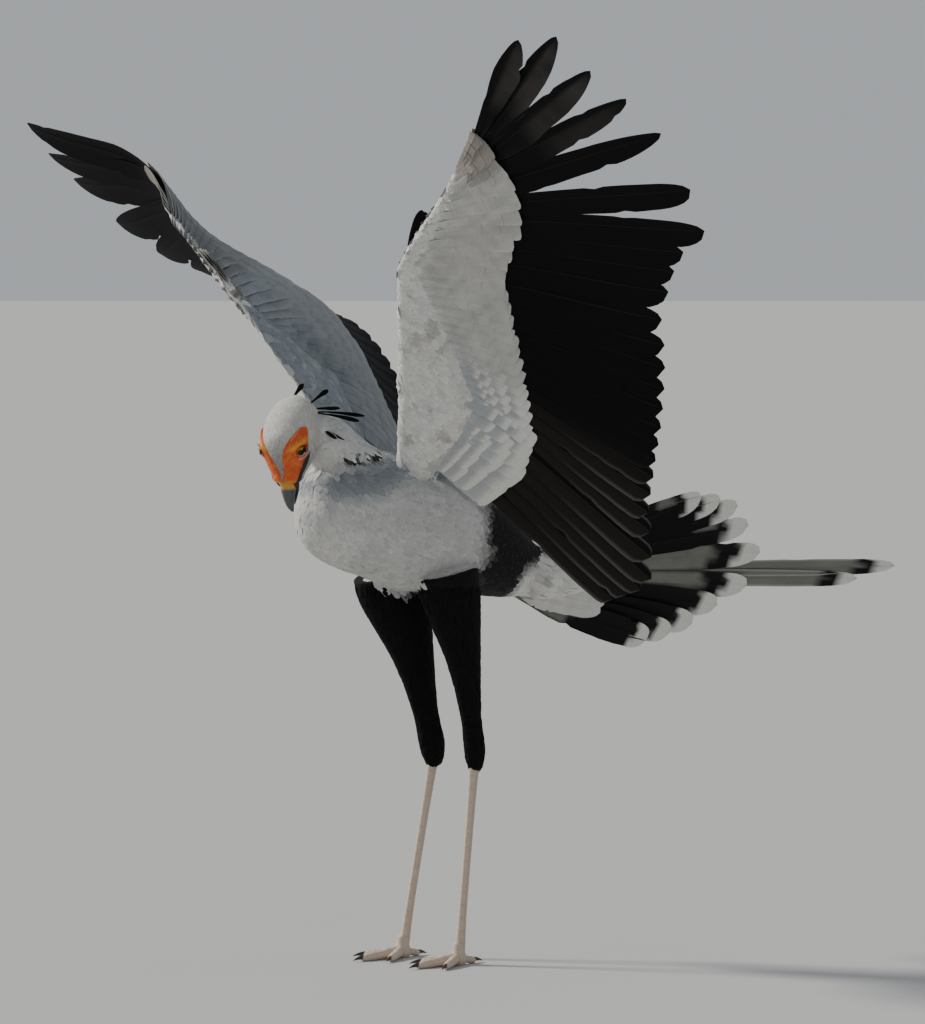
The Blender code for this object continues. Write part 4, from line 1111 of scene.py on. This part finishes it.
def make_alula(wing):
    """Short stiff feathers on the wrist's leading edge, black on the left wing and pale on the right."""
    along = unit(wing.tip - wing.wrist)
    points, widths, distances = [], [], []
    full = outline(COVERT_FORM, 0.7) * ALULA_WIDE
    off = np.where(CROSS >= 0, CROSS * LEAD_SHARE, CROSS * (1 - LEAD_SHARE)) * full[:, None]
    sag = -0.06 * CROSS**2 * full[:, None] + ON_SHAFT * 0.0006
    for k in range(ALULA_COUNT):
        front = -unit(wing.ahead(8 - min(k, 2))[0])
        start = wing.wrist + along * (0.018 + 0.008 * k) + front * 0.004 + wing.up(8) * (0.002 + 0.0020 * k)
        heading = unit(along + front * (0.22 - 0.05 * k))
        lead = unit(front - heading * dot(front, heading))
        length = ALULA_LONG - 0.010 * k
        line = start + heading * (length * STATIONS)[:, None]
        ring, across = vane(line, lead, np.cross(lead, heading), off, sag, 0.00025)
        points.append(ring)
        widths.append(across)
        distances.append(length * STATIONS)
    rows = [("alula", (np.array(points), np.array(widths), np.array(distances)), [9] * ALULA_COUNT)]
    paint, look = (flight_paint, "flight") if wing.side > 0 else (pale_paint, "coat")
    blades("alula_" + wing.name, rows, paint, "black_feather", look)


# Tail

TAIL_STACK = 0.0022
# A row holds how far the tips stand off, length and count.
TAIL_COVERTS = ((0.006, 0.19, 9), (0.010, 0.13, 9), (-0.018, 0.19, 10), (-0.023, 0.15, 9), (-0.027, 0.11, 8))


def tail_paint(tag, rank, share, across, points):
    """Grey toward the root, a broad black band, a white tip. The long middle pair is grey nearly to its end."""
    mottle = blotch(points, 0.014, rank)
    wobble = share + 0.02 * (mottle - 0.5) + 0.02 * np.abs(across)
    if abs(rank) < 1:
        colour = TAIL_GREY * (0.85 + 0.3 * mottle[..., None])
        colour = mix(colour, PALE, fade(0.75, 1.0, np.abs(across)) * 0.5)
        colour = mix(colour, BLACK, fade(0.895, 0.903, wobble) * fade(0.956, 0.948, wobble))
        return mix(colour, WHITE, fade(0.948, 0.956, wobble))
    first = 0.79 if abs(rank) < 2 else 0.42
    colour = TAIL_GREY * (0.8 + 0.35 * mottle[..., None])
    colour = mix(colour, BLACK, fade(0.90, 1.0, np.abs(across)) * 0.7)
    colour = mix(colour, BLACK, fade(first, first + 0.02, wobble))
    if rank > 2:
        patch = fade(0.755, 0.77, wobble) * fade(0.86, 0.845, wobble) * fade(0.1, 0.2, -across)
        colour = mix(colour, TAIL_GREY, patch * 0.9)
    return mix(colour, WHITE, fade(0.905, 0.92, wobble))


def make_tail():
    ranks = [k - 5.5 for k in range(12)]

    def stack(rank):
        return -TAIL_STACK * (abs(rank) + (0.4 if rank < 0 else 0.0))

    def width(rank):
        return 0.050 if abs(rank) > 1 else 0.032

    def share(length):
        return lambda rank: length / float(smooth(TAIL.fan, abs(rank))[1]) * random.uniform(0.92, 1.08)

    row = blade_row(TAIL, ranks, FLIGHT_FORM, 0.90, width, 0.0, lambda n: 1.0, 0.0, 4.0, 0.0, 0.5, stack)
    blades("tail_feathers", [("tail", row, ranks)], tail_paint, "grey_plumage")
    rows = []
    for lift, length, count in TAIL_COVERTS:
        spread = [8.4 * (k / (count - 1) - 0.5) for k in range(count)]
        row = blade_row(TAIL, spread, COVERT_FORM, 0.78, lambda n: 0.034, 0.0, share(length), lift, 4.0, 0.0,
                        0.5, splits=3, camber=0.07 * np.sign(lift))
        rows.append(("under" if lift < 0 else "upper", row, spread))

    def paint(tag, rank, share, across, points):
        soft = blotch(points, 0.02, rank)
        return mix(WHITE * 0.95, PALE * (0.9 if tag == "under" else 0.7), soft * 0.6)

    blades("tail_coverts", rows, paint, "grey_plumage", "coat")


# Head details

def closed_sheet(grid, normals, thick):
    """A sheet given as a grid, made solid: its back lies under its front."""
    back = grid - normals * thick
    rows, columns = grid.shape[:2]
    ring = np.concatenate([grid, back[:, ::-1]], 1)
    return ring, ring_quads(rows, columns * 2, cap=True)


BROW_TURN = math.radians(34.0)
LASHES = 15


def eye_frame(side):
    look = unit(NEAR * (side * 0.82) + CROWN * 0.57)
    centre = head_point(EYE_HEIGHT, side * EYE_ACROSS, EYE_FORWARD)
    level = unit(np.cross(UP, look))
    c, s = math.cos(BROW_TURN), math.sin(BROW_TURN) * side
    return centre, look, level * c + UP * s, UP * c - level * s


def make_face(side, name):
    """Bare skin from the bill past the eye: raised, softly folded, orange, yellower toward the bill, with a
    painted yellow highlight on the brow ridge, painted shade round the eye and on the throat side, and a pale
    streak below the eye.
    """
    rows, columns = 64, 44
    heights = np.linspace(0.7515, 0.842, rows)
    near, far = face_edge(heights, side)
    v = np.linspace(0, 1, columns)
    turn = np.radians(near[:, None] - 2 + (far - near + 4)[:, None] * v) * side
    z = np.repeat(heights[:, None], columns, 1)
    base = head_surface(z, turn)
    out = unit(np.cross(np.gradient(base, axis=1), np.gradient(base, axis=0)))
    centre = head_point(z, 0.0, 0.0)
    out = np.where((dot(out, base - centre) < 0)[..., None], -out, out)
    u = np.linspace(0, 1, rows)[:, None]
    edge = np.minimum(fade(0, 0.16, v) * fade(1, 0.86, v), fade(0, 0.05, u) * fade(1, 0.90, u))
    eye, look, across, up = eye_frame(side)
    away = np.linalg.norm(base - (eye + look * EYE_RADIUS * 0.6), axis=-1)
    folds = np.sin(away / 0.0017 + 2.0 * blotch(base, 0.007)) * fade(0.020, 0.011, away)
    grain = blotch(base, 0.0032, 4.0) - 0.5
    height = -0.0022 + 0.0036 * edge + edge * (0.0007 * folds + 0.0008 * grain)
    high, aside = dot(base - eye, up), np.abs(dot(base - eye, across))
    brow = bell(high - 0.012, 0.004) * fade(0.022, 0.010, aside)
    height += edge * 0.0016 * brow - 0.0045 * fade(0.0090, 0.0065, away)
    grid = base + out * height[..., None]
    # yellow: a painted highlight on the brow ridge, the skin's own yellow toward the bill, and random patches
    yellow = np.clip(0.8 * brow + 0.9 * fade(0.762, 0.752, z) + 0.25 * (blotch(base, 0.006) - 0.5), 0, 1)
    colour = mix(ORANGE * (0.72 + 0.46 * blotch(base, 0.0045, 1.0)[..., None]), YELLOW, yellow)
    colour = mix(colour, YELLOW * 0.9, 0.35 * fade(0.55, 0.85, blotch(base, 0.0075, 5.0)))
    # painted shade in the hollow round the eye: darker orange close to it
    colour = mix(colour, ORANGE * 0.28, 0.7 * fade(0.011, 0.0075, away))
    # painted shade on the throat side of the face, between the eye and the mouth
    level = (fade(0.770, 0.785, heights), fade(0.818, 0.804, heights))
    throat_side_shade = fade(0.66, 0.92, v)[None] * level[0][:, None] * level[1][:, None]
    colour = mix(colour, ORANGE * 0.22, 0.75 * throat_side_shade)
    below = bell(high + 0.0085, 0.0018) * fade(0.012, 0.006, aside)
    # a pale streak painted just below the eye
    colour = mix(colour, PALE_STREAK, 0.75 * below)
    points, quads = closed_sheet(grid, out, 0.0012)
    colours = np.concatenate([colour, colour[:, ::-1]], 1)
    piece("face_" + name, points, quads, "face", "scaly_skin", colours)


def make_lids(side, name):
    """Both lids: a shell over the eye with an almond opening, thick at its rim, and lashes above."""
    centre, look, across, up = eye_frame(side)
    turns = np.linspace(0, 2 * np.pi, 48, endpoint=False)
    c, s = np.cos(turns), np.sin(turns)
    opening = np.radians(10.0 + 40.0 * np.abs(s) ** 1.7 - 3.0 * np.clip(c, 0, 1))
    out = up * c[:, None] + across * s[:, None]
    reach = np.linspace(0, 1, 9)

    def ring(share, radius):
        angle = opening + (np.radians(84.0) - opening) * share
        return centre + look * (radius * np.cos(angle))[:, None] + out * (radius * np.sin(angle))[:, None]

    outer = [ring(share, EYE_RADIUS * (1.045 + 0.11 * bell(share - 0.16, 0.14) * (1 + 0.4 * c)))
             for share in reach]
    grid = np.array(outer + [ring(share, EYE_RADIUS * 1.005) for share in reach[::-1]])
    rings = len(grid)
    rim = np.array([1.0 if k < 2 or k > rings - 2 else 0.0 for k in range(rings)])[:, None]
    # painted highlight: the upper half of the lids yellow, the lower half orange
    colour = mix(ORANGE * 0.8, YELLOW, fade(0.1, 0.7, c) + 0 * rim)
    colour = mix(colour, np.array((0.42, 0.36, 0.30)), rim * fade(0.0, -0.5, c))
    colour = mix(colour, BLACK * 2, rim * fade(0.0, 0.4, c) * 0.9)
    piece("lids_" + name, grid, ring_quads(rings, len(turns)), "face", "scaly_skin", colour)
    lean = np.linspace(-1, 1, LASHES)
    start = (centre + look * (EYE_RADIUS * 0.80) + up * (0.0062 - 0.0028 * lean**2)[:, None]
             + across * (0.0085 * lean)[:, None])
    heading = unit(look * 0.75 + up * (0.45 - 0.2 * np.abs(lean))[:, None] + across * (0.85 * lean)[:, None])
    bristles(start, heading, 0.0075, 0.00032, "lashes_" + name)


def bristles(start, heading, length, thick, name):
    """Thin tapered black hairs with six sides, bent a little downward."""
    count = 6
    at = np.linspace(0, 1, count)
    line = start[:, None] + heading[:, None] * (length * at)[:, None] - UP * (0.18 * length * at**2)[:, None]
    side = unit(np.cross(heading, UP))
    up = np.cross(side, heading)
    c, s = circle(count)
    loop = side[:, None] * c[:, None] + up[:, None] * s[:, None]
    points = line[:, :, None] + loop[:, None] * (thick * (1 - 0.85 * at))[None, :, None, None]
    faces = repeated(ring_quads(count, count, cap=True), len(start), count * count)
    piece(name, points, faces, "claw", "black_feather", np.broadcast_to(BLACK * 1.5, points.shape))


def make_eye(side, name):
    centre, look, across, up = eye_frame(side)
    rings, count = 30, 40
    tilt = np.linspace(0.03, np.pi - 0.03, rings)
    turn = np.linspace(0, 2 * np.pi, count, endpoint=False)
    radius = EYE_RADIUS * (1 + 0.035 * bell(tilt, 0.5))
    loop = across * np.cos(turn)[:, None] + up * np.sin(turn)[:, None]
    grid = (centre + look * (radius * np.cos(tilt))[:, None, None]
            + loop[None] * (radius * np.sin(tilt))[:, None, None])
    iris = mix(PUPIL, IRIS, fade(0.42, 0.50, tilt))
    iris = mix(iris, EYE_RIM, fade(0.66, 0.74, tilt))
    colours = np.repeat(iris[:, None], count, 1)
    ring_piece("eyeball_" + name, grid, "eye", "eye", colours, ("eye_" + name,))


BILL_RINGS, BILL_AROUND = 44, 36
NOSTRIL_HEIGHT = 0.7430
# half width of the black mouth line, widened to take in painted shadow along it
MOUTH_LINE_SHADOW_WIDE = 0.0040
# A row holds height, shift toward the crown, half width, depth to the crown, depth to the throat.
BILL = {
    "upper": (
        (0.756, 0.004, 0.0135, 0.0185, 0.002), (0.746, 0.004, 0.0120, 0.0170, 0.002),
        (0.734, 0.003, 0.0095, 0.0145, 0.001), (0.724, 0.000, 0.0070, 0.0125, 0.000),
        (0.716, -0.004, 0.0042, 0.0095, 0.001), (0.710, -0.009, 0.0016, 0.0040, 0.001),
    ),
    "lower": (
        (0.756, -0.0035, 0.0115, 0.0015, 0.0115), (0.744, -0.004, 0.0100, 0.0015, 0.0100),
        (0.732, -0.006, 0.0075, 0.0015, 0.0070), (0.722, -0.009, 0.0040, 0.0012, 0.0035),
    ),
}


def make_bill():
    """Hooked upper bill with its yellow cere and slit nostrils, and the lower bill behind it."""
    for name, table in BILL.items():
        rows = [(-row[0],) + row[1:] for row in table]
        heights = -np.linspace(rows[0][0], rows[-1][0], BILL_RINGS)
        shift, wide, front, back = np.moveaxis(smooth(rows, -heights), -1, 0)
        c, s = circle(BILL_AROUND)
        forward = shift[:, None] + np.where(c >= 0, front[:, None], back[:, None]) * c
        grid = head_point(heights[:, None] + 0 * c, wide[:, None] * s, forward)
        middle = head_point(heights, 0.0, shift)[:, None]
        level = np.repeat(heights[:, None], BILL_AROUND, 1)
        if name == "upper":
            for side in (-1, 1):
                gap = grid - head_point(NOSTRIL_HEIGHT, 0.0, 0.0120) - NEAR * 0.0115 * side
                size = np.sqrt((dot(gap, UP) / 0.0042) ** 2 + (dot(gap, CROWN) / 0.0014) ** 2
                               + (dot(gap, NEAR) / 0.006) ** 2)
                grid = grid + unit(middle - grid) * (0.0022 * fade(1.0, 0.4, size))[..., None]
            ridge = 0.0006 * bell(heights - 0.7405, 0.0012)[:, None, None]
            grid = grid + unit(grid - middle) * ridge
            colour = mix(HORN, HORN * 0.45, fade(0.724, 0.712, level))
            colour = mix(colour, YELLOW * 0.75, fade(0.7420, 0.7480, level) * fade(-0.4, 0.5, c))
        else:
            # painted shade: the lower bill near-black and its root dark orange, for the shadow it lies in under
            # the upper bill
            colour = mix(HORN * 0.16, ORANGE * 0.25, fade(0.750, 0.756, level))
        ring_piece("bill_" + name + "_horn", grid, "bill", "horn", colour, ("bill_" + name,))
    for side, name in ((1, "left"), (-1, "right")):
        make_mouth_line_and_shadow(side, name)


def make_mouth_line_and_shadow(side, name):
    """The mouth line: a thick black fold from the bill back below the eye, partly the real mouth line and
    partly painted shadow along it.
    """
    rings, count = 36, 10
    heights = np.linspace(0.727, 0.803, rings)
    edge = np.radians(face_edge(heights, side)[1] + 2.5) * side
    on_head = head_surface(np.maximum(heights, 0.756), edge)
    on_head[:, 2] = heights
    squeeze = fade(0.758, 0.742, heights)[:, None]
    below = 0.742 - heights
    on_bill = head_point(heights, side * (0.0105 - 0.22 * below), -0.002 - 0.12 * below)
    line = on_head * (1 - squeeze) + on_bill * squeeze
    out = unit(line - head_point(heights, 0.0, 0.0))
    size = MOUTH_LINE_SHADOW_WIDE * np.sqrt(fade(0.726, 0.742, heights) * fade(0.803, 0.780, heights) + 0.01)[:, None]
    aside = unit(np.cross(out, UP))
    c, s = circle(count)
    grid = (line[:, None] + out[:, None] * (c * 0.45 * size + 0.0006)[..., None]
            + aside[:, None] * (s * size)[..., None])
    ring_piece("mouth_line_and_shadow_" + name, grid, "face", "scaly_skin", np.broadcast_to(BLACK * 1.6, grid.shape))


CREST_FORM = ((0.0, 0.30), (0.35, 0.34), (0.60, 0.62), (0.85, 1.0), (1.0, 0.80))
# A row holds how many, height of the roots, how steeply they rise in degrees, share of the full length.
CREST_ROWS = ((2, 0.868, 58.0, 0.70), (4, 0.861, 8.0, 0.95), (6, 0.852, -12.0, 0.84))


def make_crest():
    """Long spoon-tipped black feathers from the nape, loose and uneven, lying back over the neck."""
    feathers = []
    for count, height, steep, long in CREST_ROWS:
        for k in range(count):
            lean = 2.0 * k / (count - 1) - 1.0
            turn = math.radians(14.0 + 34.0 * lean + random.uniform(-5, 5))
            rise = math.radians(steep - 14.0 * lean * lean + random.uniform(-6.0, 6.0))
            flat = math.cos(rise)
            heading = np.array((math.sin(turn) * flat, math.cos(turn) * flat, math.sin(rise)))
            length = random.uniform(0.078, 0.108) * (1.0 - 0.18 * lean * lean) * long
            wide = random.uniform(0.0065, 0.0095)
            feathers.append((head_point(height, 0.016 * lean, -0.022), heading, length, wide))
    shape = outline(CREST_FORM, 0.82)[:, None]
    points, widths, distances = [], [], []
    for start, heading, length, wide in feathers:
        line = start + heading * (length * STATIONS)[:, None] - UP * (0.10 * length * STATIONS**2)[:, None]
        lead = unit(np.cross(heading, UP))
        roll = random.uniform(0.4, 1.2) * random.choice((-1, 1))
        high = np.cross(lead, heading)
        c, s = math.cos(roll), math.sin(roll)
        lead, high = lead * c + high * s, high * c - lead * s
        off = CROSS * 0.5 * wide * shape
        sag = -0.10 * CROSS**2 * wide * shape + ON_SHAFT * 0.0004
        ring, across = vane(line, lead, high, off, sag, 0.0002)
        points.append(ring)
        widths.append(across)
        distances.append(length * STATIONS)

    def paint(tag, number, share, across, places):
        return mix(BLUE_GREY * 0.9, BLACK, fade(0.04, 0.18, share))

    rows = [("crest", (np.array(points), np.array(widths), np.array(distances)), range(len(points)))]
    blades("crest_feathers", rows, paint, "black_feather")


# Legs: bare shank with plates in front, toes with rings of plates, curved claws

# A row holds the toe, its turn in degrees, length, thickness and claw length.
TOES = (("inner", -34.0, 0.058, 0.0082, 0.017), ("middle", 0.0, 0.078, 0.0086, 0.017),
        ("outer", 34.0, 0.060, 0.0080, 0.017), ("hind", 180.0, 0.034, 0.0072, 0.015))
TOE_FLAT = 0.0012
TOE_PLATE, SHANK_PLATE = 0.0042, 0.0066
# A row holds the place down the shank, half width, depth in front, depth behind.
SHANK = ((0.0, 0.0070, 0.0090, 0.0100), (0.12, 0.0062, 0.0074, 0.0084), (0.5, 0.0055, 0.0064, 0.0075),
         (0.85, 0.0062, 0.0070, 0.0080), (1.0, 0.0080, 0.0090, 0.0090))


def plates(distance, front, size):
    """Height of overlapping plates along a leg: steps in front, small round scales behind."""
    saw = (distance / size) % 1.0
    return front * (0.00045 * (1 - saw) ** 0.6) + (1 - front) * 0.00018 * np.sin(distance / size * 4 * np.pi)


def make_shank(name, leg):
    """The bare shank: overlapping plates in front, small round scales behind."""
    foot, ankle = np.array(leg["foot"]), np.array(leg["ankle"])
    top, low = ankle + (0, 0.002, 0.012), foot + (0, 0.004, 0.020)
    rows = [(at, *(top + (low - top) * at), wide, front, back) for at, wide, front, back in SHANK]
    rings, count = 200, 28
    grid = tube(rows, count, rings)
    out = unit(grid - grid.mean(1, keepdims=True))
    front = fade(0.15, 0.45, -out[..., 1])
    distance = np.linspace(0, 0.28, rings)[:, None]
    height = plates(distance, front, SHANK_PLATE)
    ripple = 0.00022 * np.sin(distance / 0.0013 + 2 * np.arange(count)) * (1 - front)
    grid = grid + out * (height + ripple - 0.0002)[..., None]
    dark = 0.5 * fade(0.85, 1.0, (distance / SHANK_PLATE) % 1.0) * front
    tone = 0.92 + 0.16 * blotch(grid, 0.006)[..., None]
    colour = mix(FLESH * tone, FLESH * 0.5, dark)
    colour = mix(colour, np.array((0.42, 0.30, 0.22)), 0.35 * (1 - front))
    ring_piece("shank_" + name, grid, "scales", "scaly_skin", colour, ("leg_" + name + "_shank",))


def make_toes(name, leg, sign):
    """The pad under the shank and four toes with rings of plates, each with its claw."""
    foot = np.array(leg["foot"])
    rings, count = 20, 24
    heights = np.linspace(0.0, 0.034, rings)
    pad = np.interp(heights, (0, 0.006, 0.014, 0.022, 0.034), (0.0100, 0.0135, 0.0130, 0.0100, 0.0078))
    c, s = circle(count)
    disc = np.stack([c, s, 0 * c], -1)
    grid = foot + (0, 0.001, 0) + disc * pad[:, None, None] + UP * np.maximum(heights, 0.0002)[:, None, None]
    points = [grid.reshape(-1, 3)]
    quads = [ring_quads(rings, count, cap=True)]
    colours = [np.broadcast_to(FLESH * 0.95, grid.shape).reshape(-1, 3)]
    rings, count = 70, 20
    at = np.linspace(0, 1, rings)
    c, s = circle(count)
    lift = np.interp(at, (0, 0.25, 0.55, 0.8, 1.0), (0.0125, 0.0110, 0.0082, 0.0068, 0.0056)) - TOE_FLAT
    knuckle = 1 + 0.10 * bell(at - 0.40, 0.07) + 0.10 * bell(at - 0.72, 0.06)
    for toe, degrees, length, thick, claw in TOES:
        angle = math.radians(degrees * sign)
        ahead = np.array((math.sin(angle), -math.cos(angle), 0.0))
        across = np.array((-ahead[1], ahead[0], 0.0))
        radius = thick * (1 - 0.30 * at) * knuckle * np.sqrt(np.clip((1.06 - at) / 0.16, 0.05, 1))
        plate = ((at * length / TOE_PLATE) % 1.0)[:, None]
        top = np.clip(s, 0, 1)
        reach = radius[:, None] * 0.96 + 0.0005 * (1 - plate) * top
        grid = (foot + ahead * (length * at)[:, None, None] + UP * lift[:, None, None]
                + across * (c * reach)[..., None] + UP * (s * reach)[..., None])
        grid[..., 2] = np.maximum(grid[..., 2], 0.0003)
        groove = fade(0.85, 1.0, plate) * top
        tone = 0.90 + 0.15 * blotch(grid, 0.005)[..., None]
        quads.append(ring_quads(rings, count, cap=True) + sum(len(part) for part in points))
        points.append(grid.reshape(-1, 3))
        colours.append(mix(FLESH * tone, FLESH * 0.45, groove * 0.7).reshape(-1, 3))
        make_claw(name, toe, foot + ahead * length, ahead, across, claw)
    piece("toes_" + name, np.concatenate(points), np.concatenate(quads), "scales", "scaly_skin",
          np.concatenate(colours), replaces=("leg_" + name + "_foot",))


def make_claw(name, toe, root, ahead, across, length):
    rings, count = 26, 16
    at = np.linspace(-0.35, 1.0, rings)
    forward = np.clip(at, 0, None)
    height = 0.0062 - 0.0036 * forward**2
    radius = 0.0036 * (1.0 - 0.86 * forward**1.2)
    low = np.minimum(radius, height - 0.0004)
    c, s = circle(count)
    tall = np.where(s >= 0, radius[:, None], low[:, None]) * s
    grid = (root + ahead * (length * at)[:, None, None] + UP * (height[:, None] + tall)[..., None]
            + across * (radius[:, None] * 0.78 * c)[..., None])
    colour = mix(CLAW_DARK, CLAW_PALE, np.repeat(fade(0.2, -0.3, at)[:, None], count, 1))
    ring_piece("talon_" + name + "_" + toe, grid, "claw", "horn", colour, ("claw_" + name + "_" + toe,))


# Stage

FLOOR_HALF = 300.0


def make_stage():
    far = FLOOR_HALF
    corners = [(-far, -far, 0), (far, -far, 0), (far, far, 0), (-far, far, 0)]
    mesh = bpy.data.meshes.new("floor")
    mesh.from_pydata(corners, [], [(0, 1, 2, 3)])
    made, tree, shader = nodes_of("floor", 0.85, 0.0, 0.2)
    place = add(tree, "ShaderNodeTexCoord")
    noise = add(tree, "ShaderNodeTexNoise", Scale=3.0, Detail=3.0)
    tree.links.new(place.outputs["Object"], noise.inputs["Vector"])
    ramp = add(tree, "ShaderNodeMapRange")
    ramp.inputs["To Min"].default_value = 0.47
    ramp.inputs["To Max"].default_value = 0.50
    tree.links.new(noise.outputs["Fac"], ramp.inputs["Value"])
    tree.links.new(ramp.outputs["Result"], shader.inputs["Base Color"])
    mesh.materials.append(made)
    floor = bpy.data.objects.new("floor", mesh)
    bpy.context.scene.collection.objects.link(floor)


BACK = np.array((0.787, -0.615, 0.052))
AIM = RIGHT * 0.0465 + UP * 0.70 + SHIFT


def light(name, kind, way, distance, power, size, colour):
    data = bpy.data.lights.new(name, kind)
    data.energy = power
    data.color = colour
    if kind == "SUN":
        data.angle = size
    else:
        data.shape = "DISK"
        data.size = size
    made = bpy.data.objects.new(name, data)
    place = Vector(AIM + unit(way) * distance)
    made.location = place
    made.rotation_euler = (Vector(AIM) - place).to_track_quat("-Z", "Y").to_euler()
    bpy.context.scene.collection.objects.link(made)


def make_lights():
    low_sun = -RIGHT * 0.80 + UP * 0.60 - BACK * 0.22
    light("key", "SUN", low_sun, 4.0, 3.9, math.radians(9.0), (1.0, 0.965, 0.90))
    light("fill", "AREA", RIGHT * 0.35 + UP * 0.45 + BACK * 0.95, 5.0, 12.0, 3.0, (0.92, 0.96, 1.0))
    world = bpy.data.worlds.new("studio")
    world.use_nodes = True
    world.node_tree.nodes["Background"].inputs["Color"].default_value = (0.76, 0.80, 0.84, 1.0)
    world.node_tree.nodes["Background"].inputs["Strength"].default_value = 0.54
    bpy.context.scene.world = world


def make_camera():
    data = bpy.data.cameras.new("camera")
    data.sensor_width = 36.0
    data.lens = 181.4
    data.clip_end = 100.0
    camera = bpy.data.objects.new("camera", data)
    place = Vector(AIM + unit(BACK) * 8.0)
    camera.location = place
    camera.rotation_euler = (Vector(AIM) - place).to_track_quat("-Z", "Y").to_euler()
    bpy.context.scene.collection.objects.link(camera)
    bpy.context.scene.camera = camera


make_camera()
GRIDS = body_grids(COAT_DEPTH)
skin_mesh, skin_body = make_skin()
make_coat(skin_mesh, skin_body)
skin_mesh.vertices.foreach_set("co", (skin_body["place"] + SHIFT).astype(np.float32).ravel())
skin_colour = colour_of(*[skin_body[key] for key in ("place", "region", "normal", "upper")])
dress(skin_mesh, skin_colour * 0.9)
skin_mesh.shade_smooth()
settle("skin", skin_mesh, "skin", "grey_plumage", FLESH_NODES)
for wing_name in WINGS:
    make_wing(wing_name)
make_tail()
make_bill()
make_crest()
for sign, side_name in ((1, "left"), (-1, "right")):
    make_eye(sign, side_name)
    make_face(sign, side_name)
    make_lids(sign, side_name)
    make_shank(side_name, LEGS[side_name])
    make_toes(side_name, LEGS[side_name], sign)
make_stage()
make_lights()
